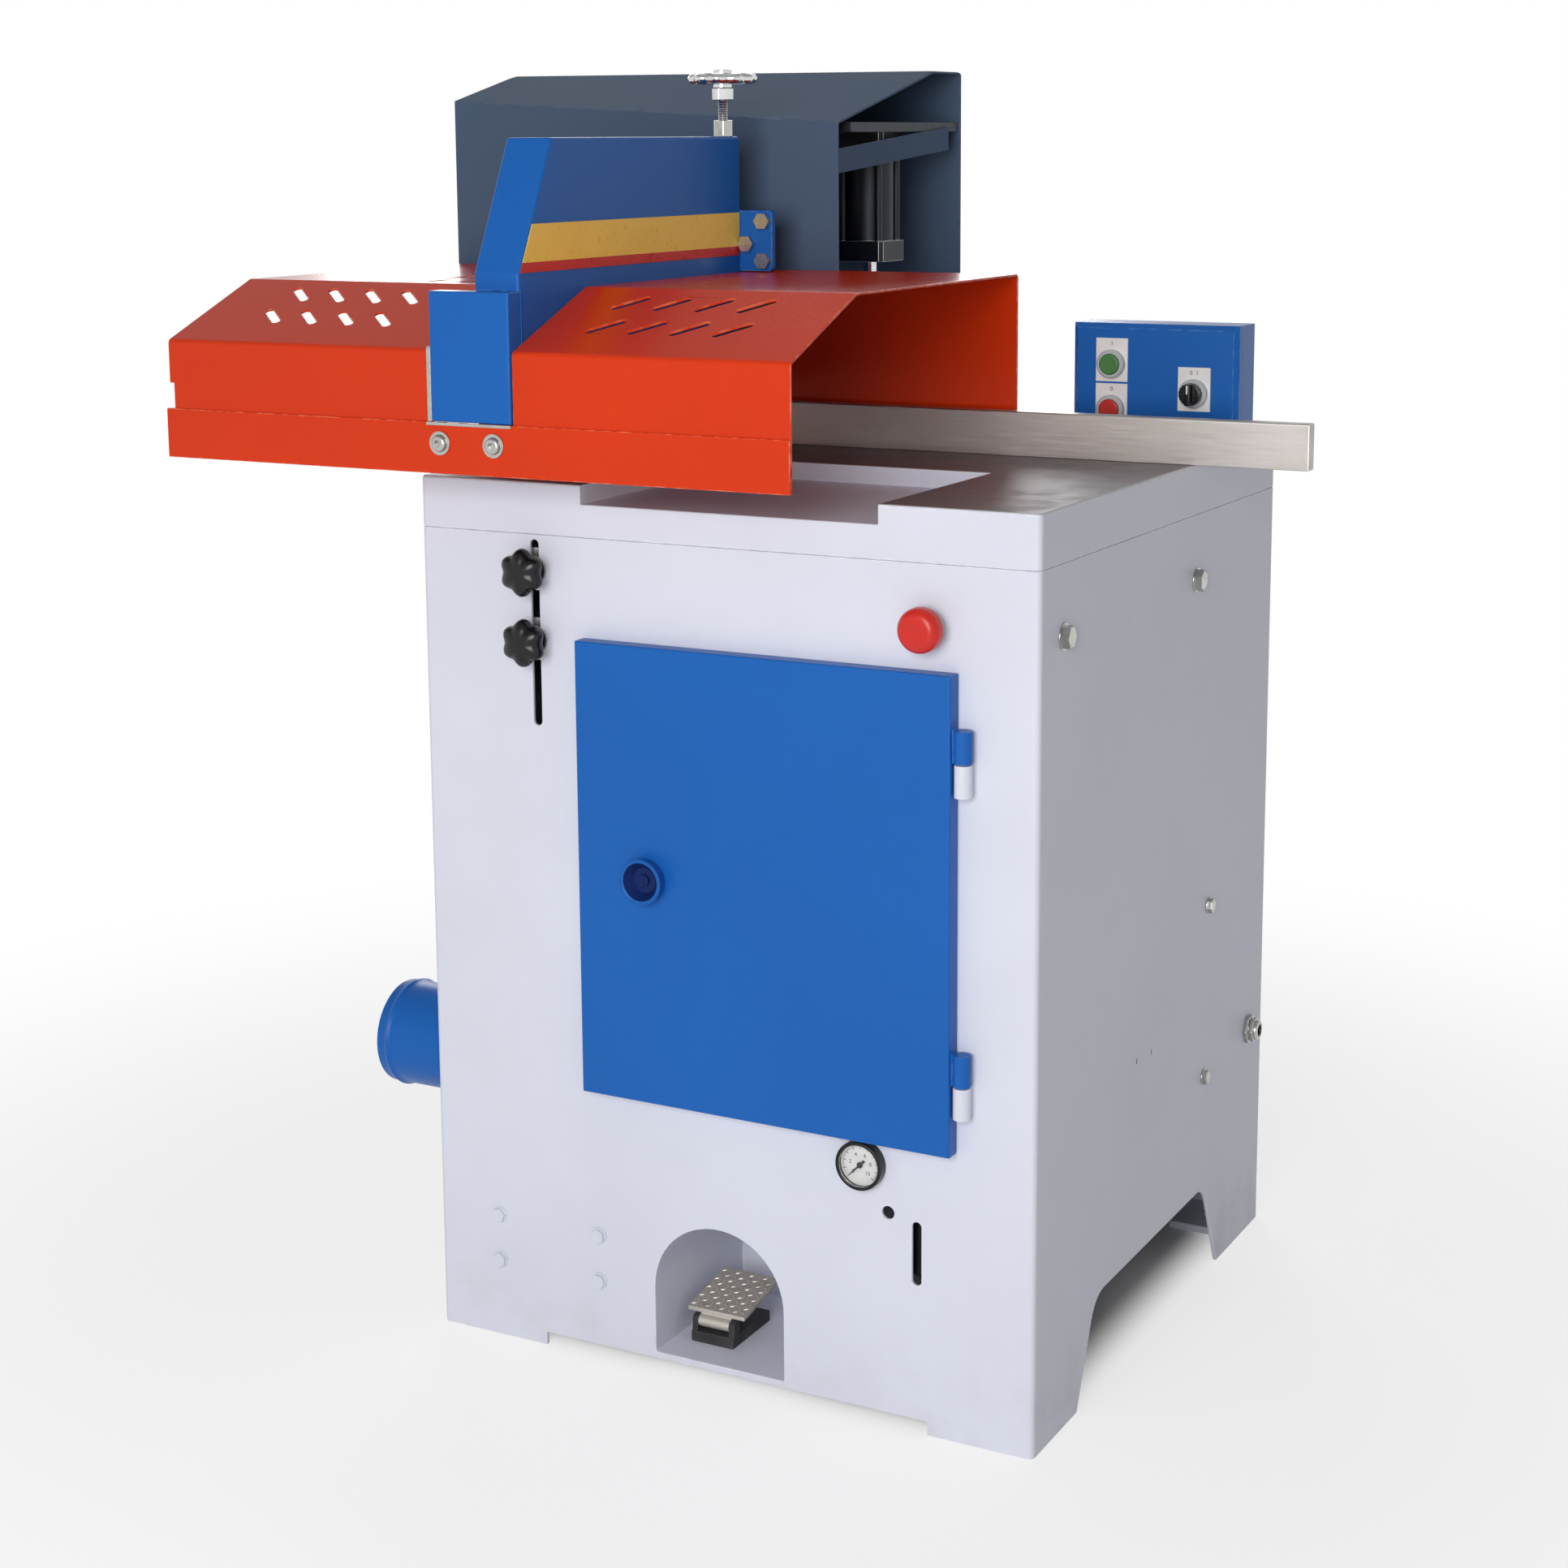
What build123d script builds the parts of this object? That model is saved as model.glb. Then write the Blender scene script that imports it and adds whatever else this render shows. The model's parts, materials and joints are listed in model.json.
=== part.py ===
from build123d import *
import math
import os

# Up-cut cut-off saw: sheet cabinet, cast table, rising blade under a hood that comes down on the work.
# Working coordinates: X from the cabinet's left wall, Y from its front face to the back, Z up from the floor.

# Cabinet
cabinet_width = 635.0
cabinet_depth = 625.0
table_height = 850.0
skirt_height = 49.0
wall = 4.0
cabinet_corner = 6.0
flange_width = 26.0
foot_left = 122.0
foot_right = 104.0
toe_gap = 13.0
foot_pad = 74.0
foot_pad_thickness = 8.0
anchor_radius = 7.0
anchor_inset = 40.0

# Side cut-out between the front and rear feet
cutout_front = 104.0
cutout_rear_margin = 134.0
cutout_height = 97.0
cutout_lean = 44.0
cutout_fillet = 34.0

# Rear vents
vent_columns = 2
vent_rows = 7
vent_length = 110.0
vent_height = 9.0
vent_pitch = 26.0
vent_bottom = 330.0

# Fits, and how far a cutter runs past the face it cuts
over = 1.0
running_fit = 0.05
seat_gap = 0.02
pass_gap = 0.5
hole_gap = 0.3

# Table
table_rim = 15.0
table_edge = 1.5
table_plate = 28.0
recess_beside = 14.0
recess_width = 304.0
recess_length = 244.0
recess_depth = 18.0
insert_width = 60.0
insert_thickness = 8.0
insert_margin = 18.0
throat_width = 40.0
throat_margin = 8.0
kerf_slot = 6.0

# Blade and swing
blade_plane = 134.0
blade_diameter = 400.0
blade_thickness = 3.2
blade_teeth = 48
tooth_depth = 8.0
tooth_face = 0.15
tooth_gullet = 0.55
blade_sunk = 15.0
cut_height = 110.0
blade_front_gap = 25.0
slot_end_gap = 5.0
spindle_radius = 15.0
housing_radius = 38.0
housing_length = 76.0
housing_gap = 7.0
bearing_width = 16.0
bearing_radius = 29.0
bearing_inset = 3.0
spindle_clear = 2.0
flange_radius = 48.0
inner_flange = 10.0
outer_flange = 9.0
nut_flats = 46.0
nut_height = 14.0
spindle_end = 4.0

# Pivot of the swing arm
pivot_rear_gap = 76.0
pivot_radius = 15.0
hub_radius = 34.0
bracket_thickness = 20.0
bracket_radius = 32.0
bracket_height = 120.0
bracket_foot = 10.0
bracket_foot_width = 44.0
hub_left = 30.0
hub_right = 174.0
hub_gap = 4.0
web_thickness = 24.0
hanger_half = 27.0

# Drive
motor_radius = 100.0
motor_left = 60.0
motor_length = 270.0
fan_cover = 40.0
motor_gap = 35.0
motor_setback = 132.0
motor_foot = 10.0
motor_pad_thickness = 14.0
motor_pad_half = 60.0
motor_pad_inset = 20.0
motor_shaft_depth = 40.0
fan_cover_radius = 94.0
pulley_left = 14.0
pulley_width = 24.0
spindle_pulley_radius = 30.0
motor_pulley_radius = 42.0
belt_thickness = 5.0
belt_gap = 0.3
belt_inset = 3.0
pulley_lip = 3.0

# Lift cylinder, upright under a pad at the front of the swing arm
lift_forward = 75.0
lift_nose_gap = 0.7
lift_pad_thickness = 24.0
lift_pad_overrun = 24.0
lift_barrel_radius = 32.0
lift_bore_radius = 27.0
lift_cap_length = 18.0
lift_rod_radius = 12.0
lift_rod_show = 140.0
lift_piston_length = 20.0
lift_piston_gap = 2.0
lift_shelf_margin = 8.0
lift_shelf_thickness = 10.0
lift_gusset = 8.0
lift_bolt_x = (70.0, 184.0)
lift_bolt_z = (79.0, 125.0)
lift_plate_margin = 22.0
lift_plate_thickness = 8.0

# Fence
fence_setback = 36.4
fence_thickness = 16.0
fence_height = 44.5
fence_overhang = 113.0
fence_gap = 32.0
fence_edge = 1.0
fence_bracket_width = 36.0
fence_bracket_leg = 8.0
fence_bracket_height = 26.0
fence_bracket_foot = 44.0
fence_bracket_left = (2.0, 66.0)
fence_bracket_right = (180.0, 330.0)
fence_bracket_end = 75.0
fence_screw_socket = 5.0
fence_screw_socket_depth = 3.0
fence_screw_head = 7.0
fence_screw_head_height = 5.0
fence_screw_margin = 1.0

# Hood
hood_gauge = 2.5
hood_left_reach = 368.0
hood_right_reach = 305.0
hood_front = -77.0
hood_lift = 14.0
hood_strip_height = 47.0
hood_fold_height = 112.0
hood_top_height = 164.0
hood_slope_run = 125.0
hood_rear_gap = 7.0
hood_back_bottom = 34.0
hood_strip_overrun = 3.0
hood_bend = 3.0
hood_notch_depth = 5.0
hood_notch_height = 24.0
slope_slot_length = 38.0
slope_slot_width = 8.0
slope_slot_lean = 48.0
slope_slot_columns = 4
slope_slot_pitch = 43.0
slope_slot_inset = 85.0
slope_slot_shares = (0.42, 0.77)
top_slot_length = 40.0
top_slot_width = 11.0
top_slot_columns = 4
top_slot_pitch = 36.0
top_slot_rows = 4
top_slot_row_pitch = 62.0
top_slot_front = 40.0
hood_screw_spacing = 58.0
hood_screw_drop = 19.0
hood_screw_shift = 5.0
hood_screw_radius = 7.5
hood_screw_head = 5.0
hood_screw_socket = 6.0
hood_screw_socket_depth = 3.0

# Guard arm
arm_width = 48.0
arm_gauge = 4.0
arm_rise = 314.0
arm_setback = 69.0
arm_crest = -5.0
arm_nose = -62.0
arm_nose_rise = 195.0
arm_lower_rise = 55.0
arm_wall_rise = 150.0
arm_fold = 3.0
plate_width = 86.0
plate_front = -80.0
plate_rise = 179.0
plate_gauge = 4.0
plate_lap = 2.0
plate_gap = 0.5
plate_fold = 2.0

# Carriage behind the arm
flange_thickness = 8.0
flange_margin = 4.0
flange_rise = (179.0, 240.0)
flange_reach = 61.0
flange_corner = 4.0
neck_width = 24.0
neck_shift = 34.0
neck_rise = 180.0
carriage_rise = (78.0, 229.0)
carriage_depth = 48.0
carriage_wall = 22.0
carriage_corner = 10.0
foot_thickness = 14.0
clamp_travel = 80.0
flange_bolt_flats = 15.0
flange_bolt_head = 7.0
flange_bolt_spread = 20.0
flange_bolt_drop = 3.0

# Column
rod_radius = 12.0
rod_spacing = 80.0
rod_setback = 58.0
rear_post_setback = 130.0
base_thickness = 14.0
base_margin = 22.0
top_plate_rise = 318.0
top_plate_thickness = 10.0
clamp_beside = 56.0
clamp_setback = 163.0
clamp_cap_width = 58.0
clamp_cap_height = 22.0
clamp_cap_edge = 4.0
clamp_barrel_radius = 26.0
clamp_bore_radius = 22.0
clamp_length = 138.0
tie_rod_radius = 4.0
tie_rod_spacing = 43.0
clamp_rod_radius = 8.0
piston_height = 12.0

# Rear cover
cover_gauge = 2.5
cover_inset = 213.0
cover_overhang = 90.0
cover_left_reach = 373.0
cover_right_reach = 101.0
cover_lift = 20.0
cover_rise = 383.0
cover_fold_rise = (354.0, 328.0)
cover_fold = 4.0
cover_slope = 13.4
cover_slot_gap = 4.0
rail_height = 25.0
rail_front_rise = 276.0
rail_climb = 22.0
rail_length = 270.0

# Handwheel and its screw
screw_beside = 13.0
screw_inset = 13.0
screw_radius = 5.0
screw_low_rise = 245.0
screw_nut_flats = 19.0
screw_nut_height = 16.0
collar_radius = 6.5
collar_height = 6.0
upper_nut_rise = 350.0
upper_nut_height = 12.0
wheel_radius = 35.0
wheel_rim = 5.0
wheel_hub_radius = 10.0
wheel_hub_height = 18.0
wheel_spokes = 3
wheel_spoke_width = 9.0
wheel_spoke_height = 6.0
stop_block_rise = 262.0
stop_block_height = 20.0
stop_block_depth = 22.0

# Control box
box_width = 176.0
box_setback = 125.0
box_depth = 50.0
box_height = 125.0
box_gauge = 2.0
lid_depth = 12.0
lid_chamfer = 5.0
push_x = 133.0
push_green_z = 84.0
push_red_z = 38.0
selector_x = 45.0
selector_z = 57.0
legend_width = 34.0
legend_height = 44.0
legend_thickness = 1.5
legend_rise = 4.0
legend_margin = 1.0
control_edge = 1.5
bezel_radius = 14.5
bezel_height = 7.0
push_radius = 10.5
push_depth = 16.0
push_travel = 3.0
selector_radius = 11.5
selector_height = 14.0
selector_grip = 8.0
selector_edge = 2.0

# Stop button on the cabinet's front
stop_inset = 103.0
stop_drop = 104.0
stop_cap_radius = 20.0
stop_cap_height = 15.0
stop_cap_round = 9.0
stop_stem_radius = 8.0
stop_bezel_radius = 15.0
stop_bezel_height = 8.0
stop_travel = 5.0
stop_stand = 7.0

# Star knobs and their studs
knob_x = 127.0
knob_drops = (82.0, 148.0)
knob_slot_width = 9.0
knob_slot_drops = (54.0, 230.0)
stud_radius = 4.0
stud_tip = 26.0
washer_radius = 13.0
washer_thickness = 2.5
stop_shoe_width = 26.0
stop_shoe_height = 40.0
stop_shoe_thickness = 9.0
knob_radius = 23.0
knob_lobes = 6
knob_lobe_radius = 6.5
knob_height = 18.0
knob_edge = 1.5
knob_neck = 12.0
knob_neck_radius = 10.0

# Door
door_left = 180.0
door_right_margin = 75.0
door_bottom = 275.0
door_drop = 142.0
door_depth = 17.0
door_gauge = 2.5
door_edge = 2.0
door_gap = 1.0
door_overlap = 18.0
hinge_gap = 1.0
hinge_radius = 8.0
hinge_setback = 10.0
hinge_pin_radius = 4.0
hinge_pin_length = 25.0
knuckle_length = 29.0
knuckle_gap = 1.0
knuckle_leaf = 11.0
hinge_upper_drop = 48.0
hinge_lower_rise = 95.0
latch_x = 75.0
latch_radius = 22.0
latch_height = 9.0
latch_edge = 2.5
latch_grip_width = 9.0
latch_grip_length = 35.0
latch_grip_height = 6.0
latch_grip_round = 3.6
latch_shaft_radius = 6.0
latch_cam_length = 67.5
latch_cam_width = 18.0
latch_cam_thickness = 3.5
latch_cam_gap = 0.6
latch_cam_corner = 4.0

# Gauge, sight slot and regulator
gauge_inset = 168.0
gauge_drop = 26.0
gauge_radius = 23.0
gauge_depth = 11.0
gauge_rim = 3.5
gauge_edge = 1.5
gauge_dish = 7.0
gauge_stem_radius = 10.0
lens_thickness = 1.5
lens_setback = 1.0
needle_length = 15.0
needle_tail = 6.0
needle_width = 2.4
needle_tip = 0.8
needle_thickness = 0.8
needle_lift = 1.6
needle_hub_radius = 2.5
needle_rest = 135.0
adjuster_inset = 143.0
adjuster_z = 206.0
adjuster_radius = 6.0
sight_inset = 114.5
sight_low = 142.0
sight_high = 202.0
sight_width = 9.0
regulator_setback = 4.0
regulator_depth = 40.0
regulator_height = 48.0
regulator_side = 27.0
regulator_corner = 5.0
bowl_radius = 19.0
bowl_height = 82.0
bowl_round = 8.0

# Foot niche and pedal
niche_x = 315.0
niche_radius = 69.0
niche_floor = 20.0
niche_spring = 86.0
niche_depth = 170.0
niche_gauge = 3.0
pedal_x = 287.0
pedal_width = 62.0
pedal_base_width = 46.0
pedal_front = 44.0
pedal_length = 72.0
pedal_base_height = 11.0
pedal_pin_z = 40.0
pedal_pin_radius = 3.5
pedal_rise = 12.0
pedal_gauge = 4.0
pedal_ear = 6.0
pedal_barrel_radius = 6.0
pedal_base_margin = 2.0
pedal_tread_gap = 1.0

# Dust port
port_y = 74.0
port_z = 267.0
port_radius = 51.5
port_gauge = 2.5
port_length = 90.0
port_flange_radius = 66.0
port_flange = 4.0

# Fasteners and gland on the right wall
side_bolt_y = (52.6, 389.4)
side_bolt_drop = 113.0
side_bolt_small = ((443.0, 397.0), (438.0, 218.0))
large_flats = 19.0
large_head = 8.0
large_shank = 6.0
small_flats = 13.0
small_head = 5.5
small_shank = 4.0
shank_length = 18.0
wire_holes = ((248.8, 294.0), (288.3, 291.0))
wire_hole_radius = 3.0
gland_y = 575.0
gland_z = 228.0
gland_radius = 11.0
gland_flats = 27.0
gland_proud = 14.0
gland_inside = 6.0
gland_bore = 6.5

# Places that follow from the sizes above
cabinet_top = table_height - skirt_height
right_inner = cabinet_width - wall
rear_inner = cabinet_depth - wall
recess_left = blade_plane + insert_width / 2 + recess_beside
blade_radius = blade_diameter / 2
spindle_y = blade_front_gap + blade_radius
spindle_z = table_height - blade_sunk - blade_radius
raised_z = table_height + cut_height - blade_radius
insert_bottom = table_height - insert_thickness
slot_half = math.sqrt(blade_radius ** 2 - (insert_bottom - raised_z) ** 2) + slot_end_gap
pivot_y = cabinet_depth - pivot_rear_gap
pivot_z = (spindle_z + raised_z) / 2
arm_length = math.hypot(pivot_y - spindle_y, pivot_z - spindle_z)
swing_deg = 2 * math.degrees(math.asin((pivot_z - spindle_z) / arm_length))
motor_distance = blade_radius + motor_radius + motor_gap
motor_y = pivot_y - motor_setback
motor_z = spindle_z - math.sqrt(motor_distance ** 2 - (motor_y - spindle_y) ** 2)
pulley_right = pulley_left + pulley_width
housing_right = blade_plane - blade_thickness / 2 - inner_flange - housing_gap
housing_left = housing_right - housing_length
lift_x = (housing_left + housing_right) / 2
lift_y = spindle_y - lift_forward
lift_nose_z = pivot_z - (pivot_y - lift_y) * math.tan(math.radians(swing_deg / 2))
lift_shelf_top = lift_bolt_z[1] + lift_plate_margin
lift_barrel_top = lift_nose_z - lift_rod_show
cover_front = cabinet_depth - cover_inset
cover_back = cabinet_depth + cover_overhang
cover_left = blade_plane - cover_left_reach
cover_right = blade_plane + cover_right_reach
cover_bottom = table_height + cover_lift
cover_top = table_height + cover_rise
hood_bottom = table_height + hood_lift
hood_strip_top = hood_bottom + hood_strip_height
hood_fold = hood_bottom + hood_fold_height
hood_top = hood_bottom + hood_top_height
hood_back = cover_front - hood_rear_gap
hood_left_end = blade_plane - hood_left_reach
hood_right_end = blade_plane + hood_right_reach
fence_front = cover_front - fence_setback
fence_back = fence_front + fence_thickness
arm_left = blade_plane - arm_width / 2
arm_right = blade_plane + arm_width / 2
arm_top = table_height + arm_rise
arm_rear = cover_front - arm_setback
arm_nose_height = table_height + arm_nose_rise
arm_lower = table_height + arm_lower_rise
plate_left = arm_right - plate_width
plate_back = arm_nose + plate_lap
plate_bottom = hood_strip_top + plate_gap
plate_top = table_height + plate_rise
flange_low = table_height + flange_rise[0]
flange_high = table_height + flange_rise[1]
flange_right = blade_plane + flange_reach
neck_left = blade_plane - neck_shift - neck_width / 2
neck_right = neck_left + neck_width
neck_low = table_height + neck_rise
carriage_bottom = table_height + carriage_rise[0]
carriage_top = table_height + carriage_rise[1]
rod_y = cover_front + rod_setback
post_y = rod_y + rear_post_setback
rod_left_x = blade_plane - rod_spacing / 2
rod_right_x = blade_plane + rod_spacing / 2
base_top = table_height + base_thickness
top_plate_z = table_height + top_plate_rise
clamp_x = blade_plane + clamp_beside
clamp_y = cover_front + clamp_setback
clamp_bottom = top_plate_z - clamp_length
screw_x = blade_plane + screw_beside
screw_y = arm_rear - screw_inset
upper_nut_z = table_height + upper_nut_rise
stop_block_low = table_height + stop_block_rise
box_right = cabinet_width
box_left = box_right - box_width
box_front = cabinet_depth - box_setback
green_centre = (box_right - push_x, table_height + push_green_z)
red_centre = (box_right - push_x, table_height + push_red_z)
selector_centre = (box_right - selector_x, table_height + selector_z)
door_right = cabinet_width - door_right_margin
door_top = table_height - door_drop
hinge_x = door_right + hinge_radius + hinge_gap
hinge_tops = (door_top - hinge_upper_drop, door_bottom + hinge_lower_rise)
latch_centre = (door_left + latch_x, (door_bottom + door_top) / 2)
stop_centre = (cabinet_width - stop_inset, table_height - stop_drop)
knob_z = [table_height - drop for drop in knob_drops]
gauge_centre = (cabinet_width - gauge_inset, door_bottom - gauge_drop)
sight_x = cabinet_width - sight_inset
side_bolt_large = [(y, table_height - side_bolt_drop) for y in side_bolt_y]


def block(x, y, z):
    place = Pos((x[0] + x[1]) / 2, (y[0] + y[1]) / 2, (z[0] + z[1]) / 2)
    return place * Box(x[1] - x[0], y[1] - y[0], z[1] - z[0])


def facing(axis, start, centre):
    if axis == "X":
        return Plane((start, *centre), x_dir=(0, 1, 0), z_dir=(1, 0, 0))
    if axis == "Y":
        return Plane((centre[0], start, centre[1]), x_dir=(1, 0, 0), z_dir=(0, 1, 0))
    return Plane((*centre, start), x_dir=(1, 0, 0), z_dir=(0, 0, 1))


def prism(axis, outline, span, centre):
    return facing(axis, span[0], centre) * extrude(outline, amount=span[1] - span[0])


def rod(axis, radius, span, centre):
    return prism(axis, Circle(radius), span, centre)


def ring(axis, outer, inner, span, centre):
    return prism(axis, Circle(outer) - Circle(inner), span, centre)


def hexagon(axis, flats, span, centre):
    return prism(axis, RegularPolygon(flats / 2, 6, major_radius=False), span, centre)


def slab(axis, points, span):
    if axis == "X":
        corners = [(span[0], *point) for point in points]
        way = (1, 0, 0)
    elif axis == "Y":
        corners = [(point[0], span[0], point[1]) for point in points]
        way = (0, 1, 0)
    else:
        corners = [(*point, span[0]) for point in points]
        way = (0, 0, 1)
    return extrude(make_face(Polyline(*corners, close=True)), amount=span[1] - span[0], dir=way)


def inner_line(points, gauge):
    # The outer line of a folded sheet, moved inwards by the gauge.
    steps = [Vector(*b) - Vector(*a) for a, b in zip(points, points[1:])]
    normals = [Vector(step.Y, -step.X).normalized() for step in steps]
    inner = []
    for index, point in enumerate(points):
        before = normals[max(index - 1, 0)]
        after = normals[min(index, len(normals) - 1)]
        shift = (before + after) * (gauge / (1 + before.dot(after)))
        inner.append((point[0] + shift.X, point[1] + shift.Y))
    return inner


def folded_sheet(points, gauge, bend, span):
    # A sheet folded along X with rounded bends, drawn from its outer line in Y and Z.
    inner = inner_line(points, gauge)
    sheet = slab("X", list(points) + inner[::-1], span)
    for line, radius in ((points, bend + gauge), (inner, bend)):
        for corner in line[1:-1]:
            edge = sheet.edges().filter_by(Axis.X).sort_by_distance((span[0], *corner))[0]
            sheet = fillet(edge, radius)
    return sheet


def bar_between(axis, start, end, radius_start, radius_end, span):
    # A tapered web with round ends, the convex outline of two circles.
    away = Vector(*end) - Vector(*start)
    heading = math.atan2(away.Y, away.X)
    lean = math.acos((radius_start - radius_end) / away.length)
    corners = []
    for side in (1, -1):
        turn = heading + side * lean
        across = Vector(math.cos(turn), math.sin(turn))
        pair = [Vector(*start) + across * radius_start, Vector(*end) + across * radius_end]
        corners.append([(point.X, point.Y) for point in pair])
    web = slab(axis, corners[0] + corners[1][::-1], span)
    return web + rod(axis, radius_start, span, start) + rod(axis, radius_end, span, end)


def arch_outline(radius, floor, y):
    left = niche_x - radius
    right = niche_x + radius
    crown = niche_spring + radius
    edges = [
        Line((left, y, floor), (right, y, floor)),
        Line((right, y, floor), (right, y, niche_spring)),
        ThreePointArc((right, y, niche_spring), (niche_x, y, crown), (left, y, niche_spring)),
        Line((left, y, niche_spring), (left, y, floor)),
    ]
    return make_face(edges)


def arch_solid(radius, floor, y):
    return extrude(arch_outline(radius, floor, y[0]), amount=y[1] - y[0], dir=(0, 1, 0))


def slot_x(centre, length, height, y):
    return prism("Y", SlotOverall(length, height), y, centre)


def slot_z(x, low, high, width, y):
    upright = Rot(0, 0, 90) * SlotOverall(high - low, width)
    return prism("Y", upright, y, (x, (low + high) / 2))


def side_cutout():
    rear = cabinet_depth - cutout_rear_margin
    points = [
        (cutout_front, -over),
        (cutout_front + cutout_lean, cutout_height),
        (rear - cutout_lean, cutout_height),
        (rear, -over),
    ]
    cut = slab("X", points, (-over, cabinet_width + over))
    upper = cut.edges().filter_by(Axis.X).group_by(Axis.Z)[-1]
    return fillet(upper, cutout_fillet)


def make_cabinet():
    outer = block((0, cabinet_width), (0, cabinet_depth), (0, cabinet_top))
    outer = fillet(outer.edges().filter_by(Axis.Z), cabinet_corner)
    body = outer - block((wall, right_inner), (wall, rear_inner), (-over, cabinet_top + over))
    lip = (cabinet_top - wall, cabinet_top)
    body += block((right_inner - flange_width, right_inner), (wall, rear_inner), lip)
    body += block((wall, right_inner), (rear_inner - flange_width, rear_inner), lip)
    front = (-over, wall + over)
    cuts = block((foot_left, cabinet_width - foot_right), (-over, cabinet_depth + over), (-over, toe_gap))
    cuts += side_cutout()
    body -= cuts
    for x in (wall, right_inner - foot_pad + wall):
        for y in (wall, rear_inner - foot_pad + wall):
            body += block((x, x + foot_pad - wall), (y, y + foot_pad - wall), (0, foot_pad_thickness))
    for x in (anchor_inset, cabinet_width - anchor_inset):
        for y in (anchor_inset, cabinet_depth - anchor_inset):
            body -= rod("Z", anchor_radius, (-over, foot_pad_thickness + over), (x, y))
    niche_back = wall + niche_depth
    niche = arch_solid(niche_radius + niche_gauge, niche_floor - niche_gauge, (wall, niche_back))
    niche -= arch_solid(niche_radius, niche_floor, (wall - over, niche_back - niche_gauge))
    body += niche
    body -= arch_solid(niche_radius, niche_floor, front)
    opening_x = (door_left + door_overlap, door_right - door_overlap)
    body -= block(opening_x, front, (door_bottom + door_overlap, door_top - door_overlap))
    slot_high, slot_low = [table_height - drop for drop in knob_slot_drops]
    body -= slot_z(knob_x, slot_low, slot_high, knob_slot_width, front)
    body -= slot_z(sight_x, sight_low, sight_high, sight_width, front)
    body -= rod("Y", stop_stem_radius + hole_gap, front, stop_centre)
    body -= rod("Y", gauge_stem_radius + hole_gap, front, gauge_centre)
    body -= rod("Y", adjuster_radius, front, (cabinet_width - adjuster_inset, adjuster_z))
    for x in lift_bolt_x:
        for z in lift_bolt_z:
            body -= rod("Y", small_shank + hole_gap, front, (x, z))
    right = (right_inner - over, cabinet_width + over)
    for spot in side_bolt_large:
        body -= rod("X", large_shank + hole_gap, right, spot)
    for spot in side_bolt_small:
        body -= rod("X", small_shank + hole_gap, right, spot)
    for spot in wire_holes:
        body -= rod("X", wire_hole_radius, right, spot)
    body -= rod("X", gland_radius + hole_gap, right, (gland_y, gland_z))
    body -= rod("X", port_radius - port_gauge, (-over, wall + over), (port_y, port_z))
    rear = (rear_inner - over, cabinet_depth + over)
    for column in range(vent_columns):
        x = cabinet_width * (column + 0.5) / vent_columns
        for row in range(vent_rows):
            body -= slot_x((x, vent_bottom + row * vent_pitch), vent_length, vent_height, rear)
    return body


def make_table():
    table = block((0, cabinet_width), (0, cabinet_depth), (cabinet_top, table_height))
    table = fillet(table.edges().filter_by(Axis.Z), cabinet_corner)
    table = chamfer(table.edges().group_by(Axis.Z)[-1], table_edge)
    inside_x = (table_rim, cabinet_width - table_rim)
    inside_y = (table_rim, cabinet_depth - table_rim)
    table -= block(inside_x, inside_y, (cabinet_top - over, table_height - table_plate))
    recess_floor = table_height - recess_depth
    recess_x = (recess_left, recess_left + recess_width)
    table -= block(recess_x, (-over, recess_length), (recess_floor, table_height + over))
    half = insert_width / 2
    rebate_x = (blade_plane - half, blade_plane + half)
    rebate_y = (spindle_y - slot_half - insert_margin, spindle_y + slot_half + insert_margin)
    table -= block(rebate_x, rebate_y, (insert_bottom, table_height + over))
    throat_x = (blade_plane - throat_width / 2, blade_plane + throat_width / 2)
    throat_y = (rebate_y[0] + throat_margin, rebate_y[1] - throat_margin)
    table -= block(throat_x, throat_y, (cabinet_top - over, table_height + over))
    return table


def make_insert():
    half = insert_width / 2 - hole_gap
    reach = slot_half + insert_margin - hole_gap
    plate = block(
        (blade_plane - half, blade_plane + half),
        (spindle_y - reach, spindle_y + reach),
        (insert_bottom, table_height),
    )
    kerf_x = (blade_plane - kerf_slot / 2, blade_plane + kerf_slot / 2)
    kerf_y = (spindle_y - slot_half, spindle_y + slot_half)
    return plate - block(kerf_x, kerf_y, (insert_bottom - over, table_height + over))


def make_fence(x):
    bar = block(x, (fence_front, fence_back), (table_height, table_height + fence_height))
    return chamfer(bar.edges().filter_by(Axis.X).group_by(Axis.Z)[-1], fence_edge)


def fence_bracket_places():
    return [*fence_bracket_left, *fence_bracket_right, cabinet_width - fence_bracket_end]


def make_fence_brackets():
    brackets = []
    foot_y = (fence_back, fence_back + fence_bracket_foot)
    for x in fence_bracket_places():
        span = (x, x + fence_bracket_width)
        leg_y = (fence_back, fence_back + fence_bracket_leg)
        piece = block(span, leg_y, (table_height, table_height + fence_bracket_height))
        piece += block(span, foot_y, (table_height, table_height + fence_bracket_leg))
        brackets.append(piece)
    return brackets


def socket_head(axis, seat, centre):
    top = seat + fence_screw_head_height
    head = rod(axis, fence_screw_head, (seat, top), centre)
    return head - hexagon(axis, fence_screw_socket, (top - fence_screw_socket_depth, top + over), centre)


def make_fence_screws():
    screws = []
    leg_y = fence_back + fence_bracket_leg
    foot_z = table_height + fence_bracket_leg
    head_y = fence_back + fence_bracket_foot - 2 * fence_screw_head
    for x in fence_bracket_places():
        middle = x + fence_bracket_width / 2
        leg_z = table_height + fence_bracket_height - fence_screw_head - fence_screw_margin
        screws.append(socket_head("Y", leg_y, (middle, leg_z)))
        screws.append(socket_head("Z", foot_z, (middle, head_y)))
    return screws


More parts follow.
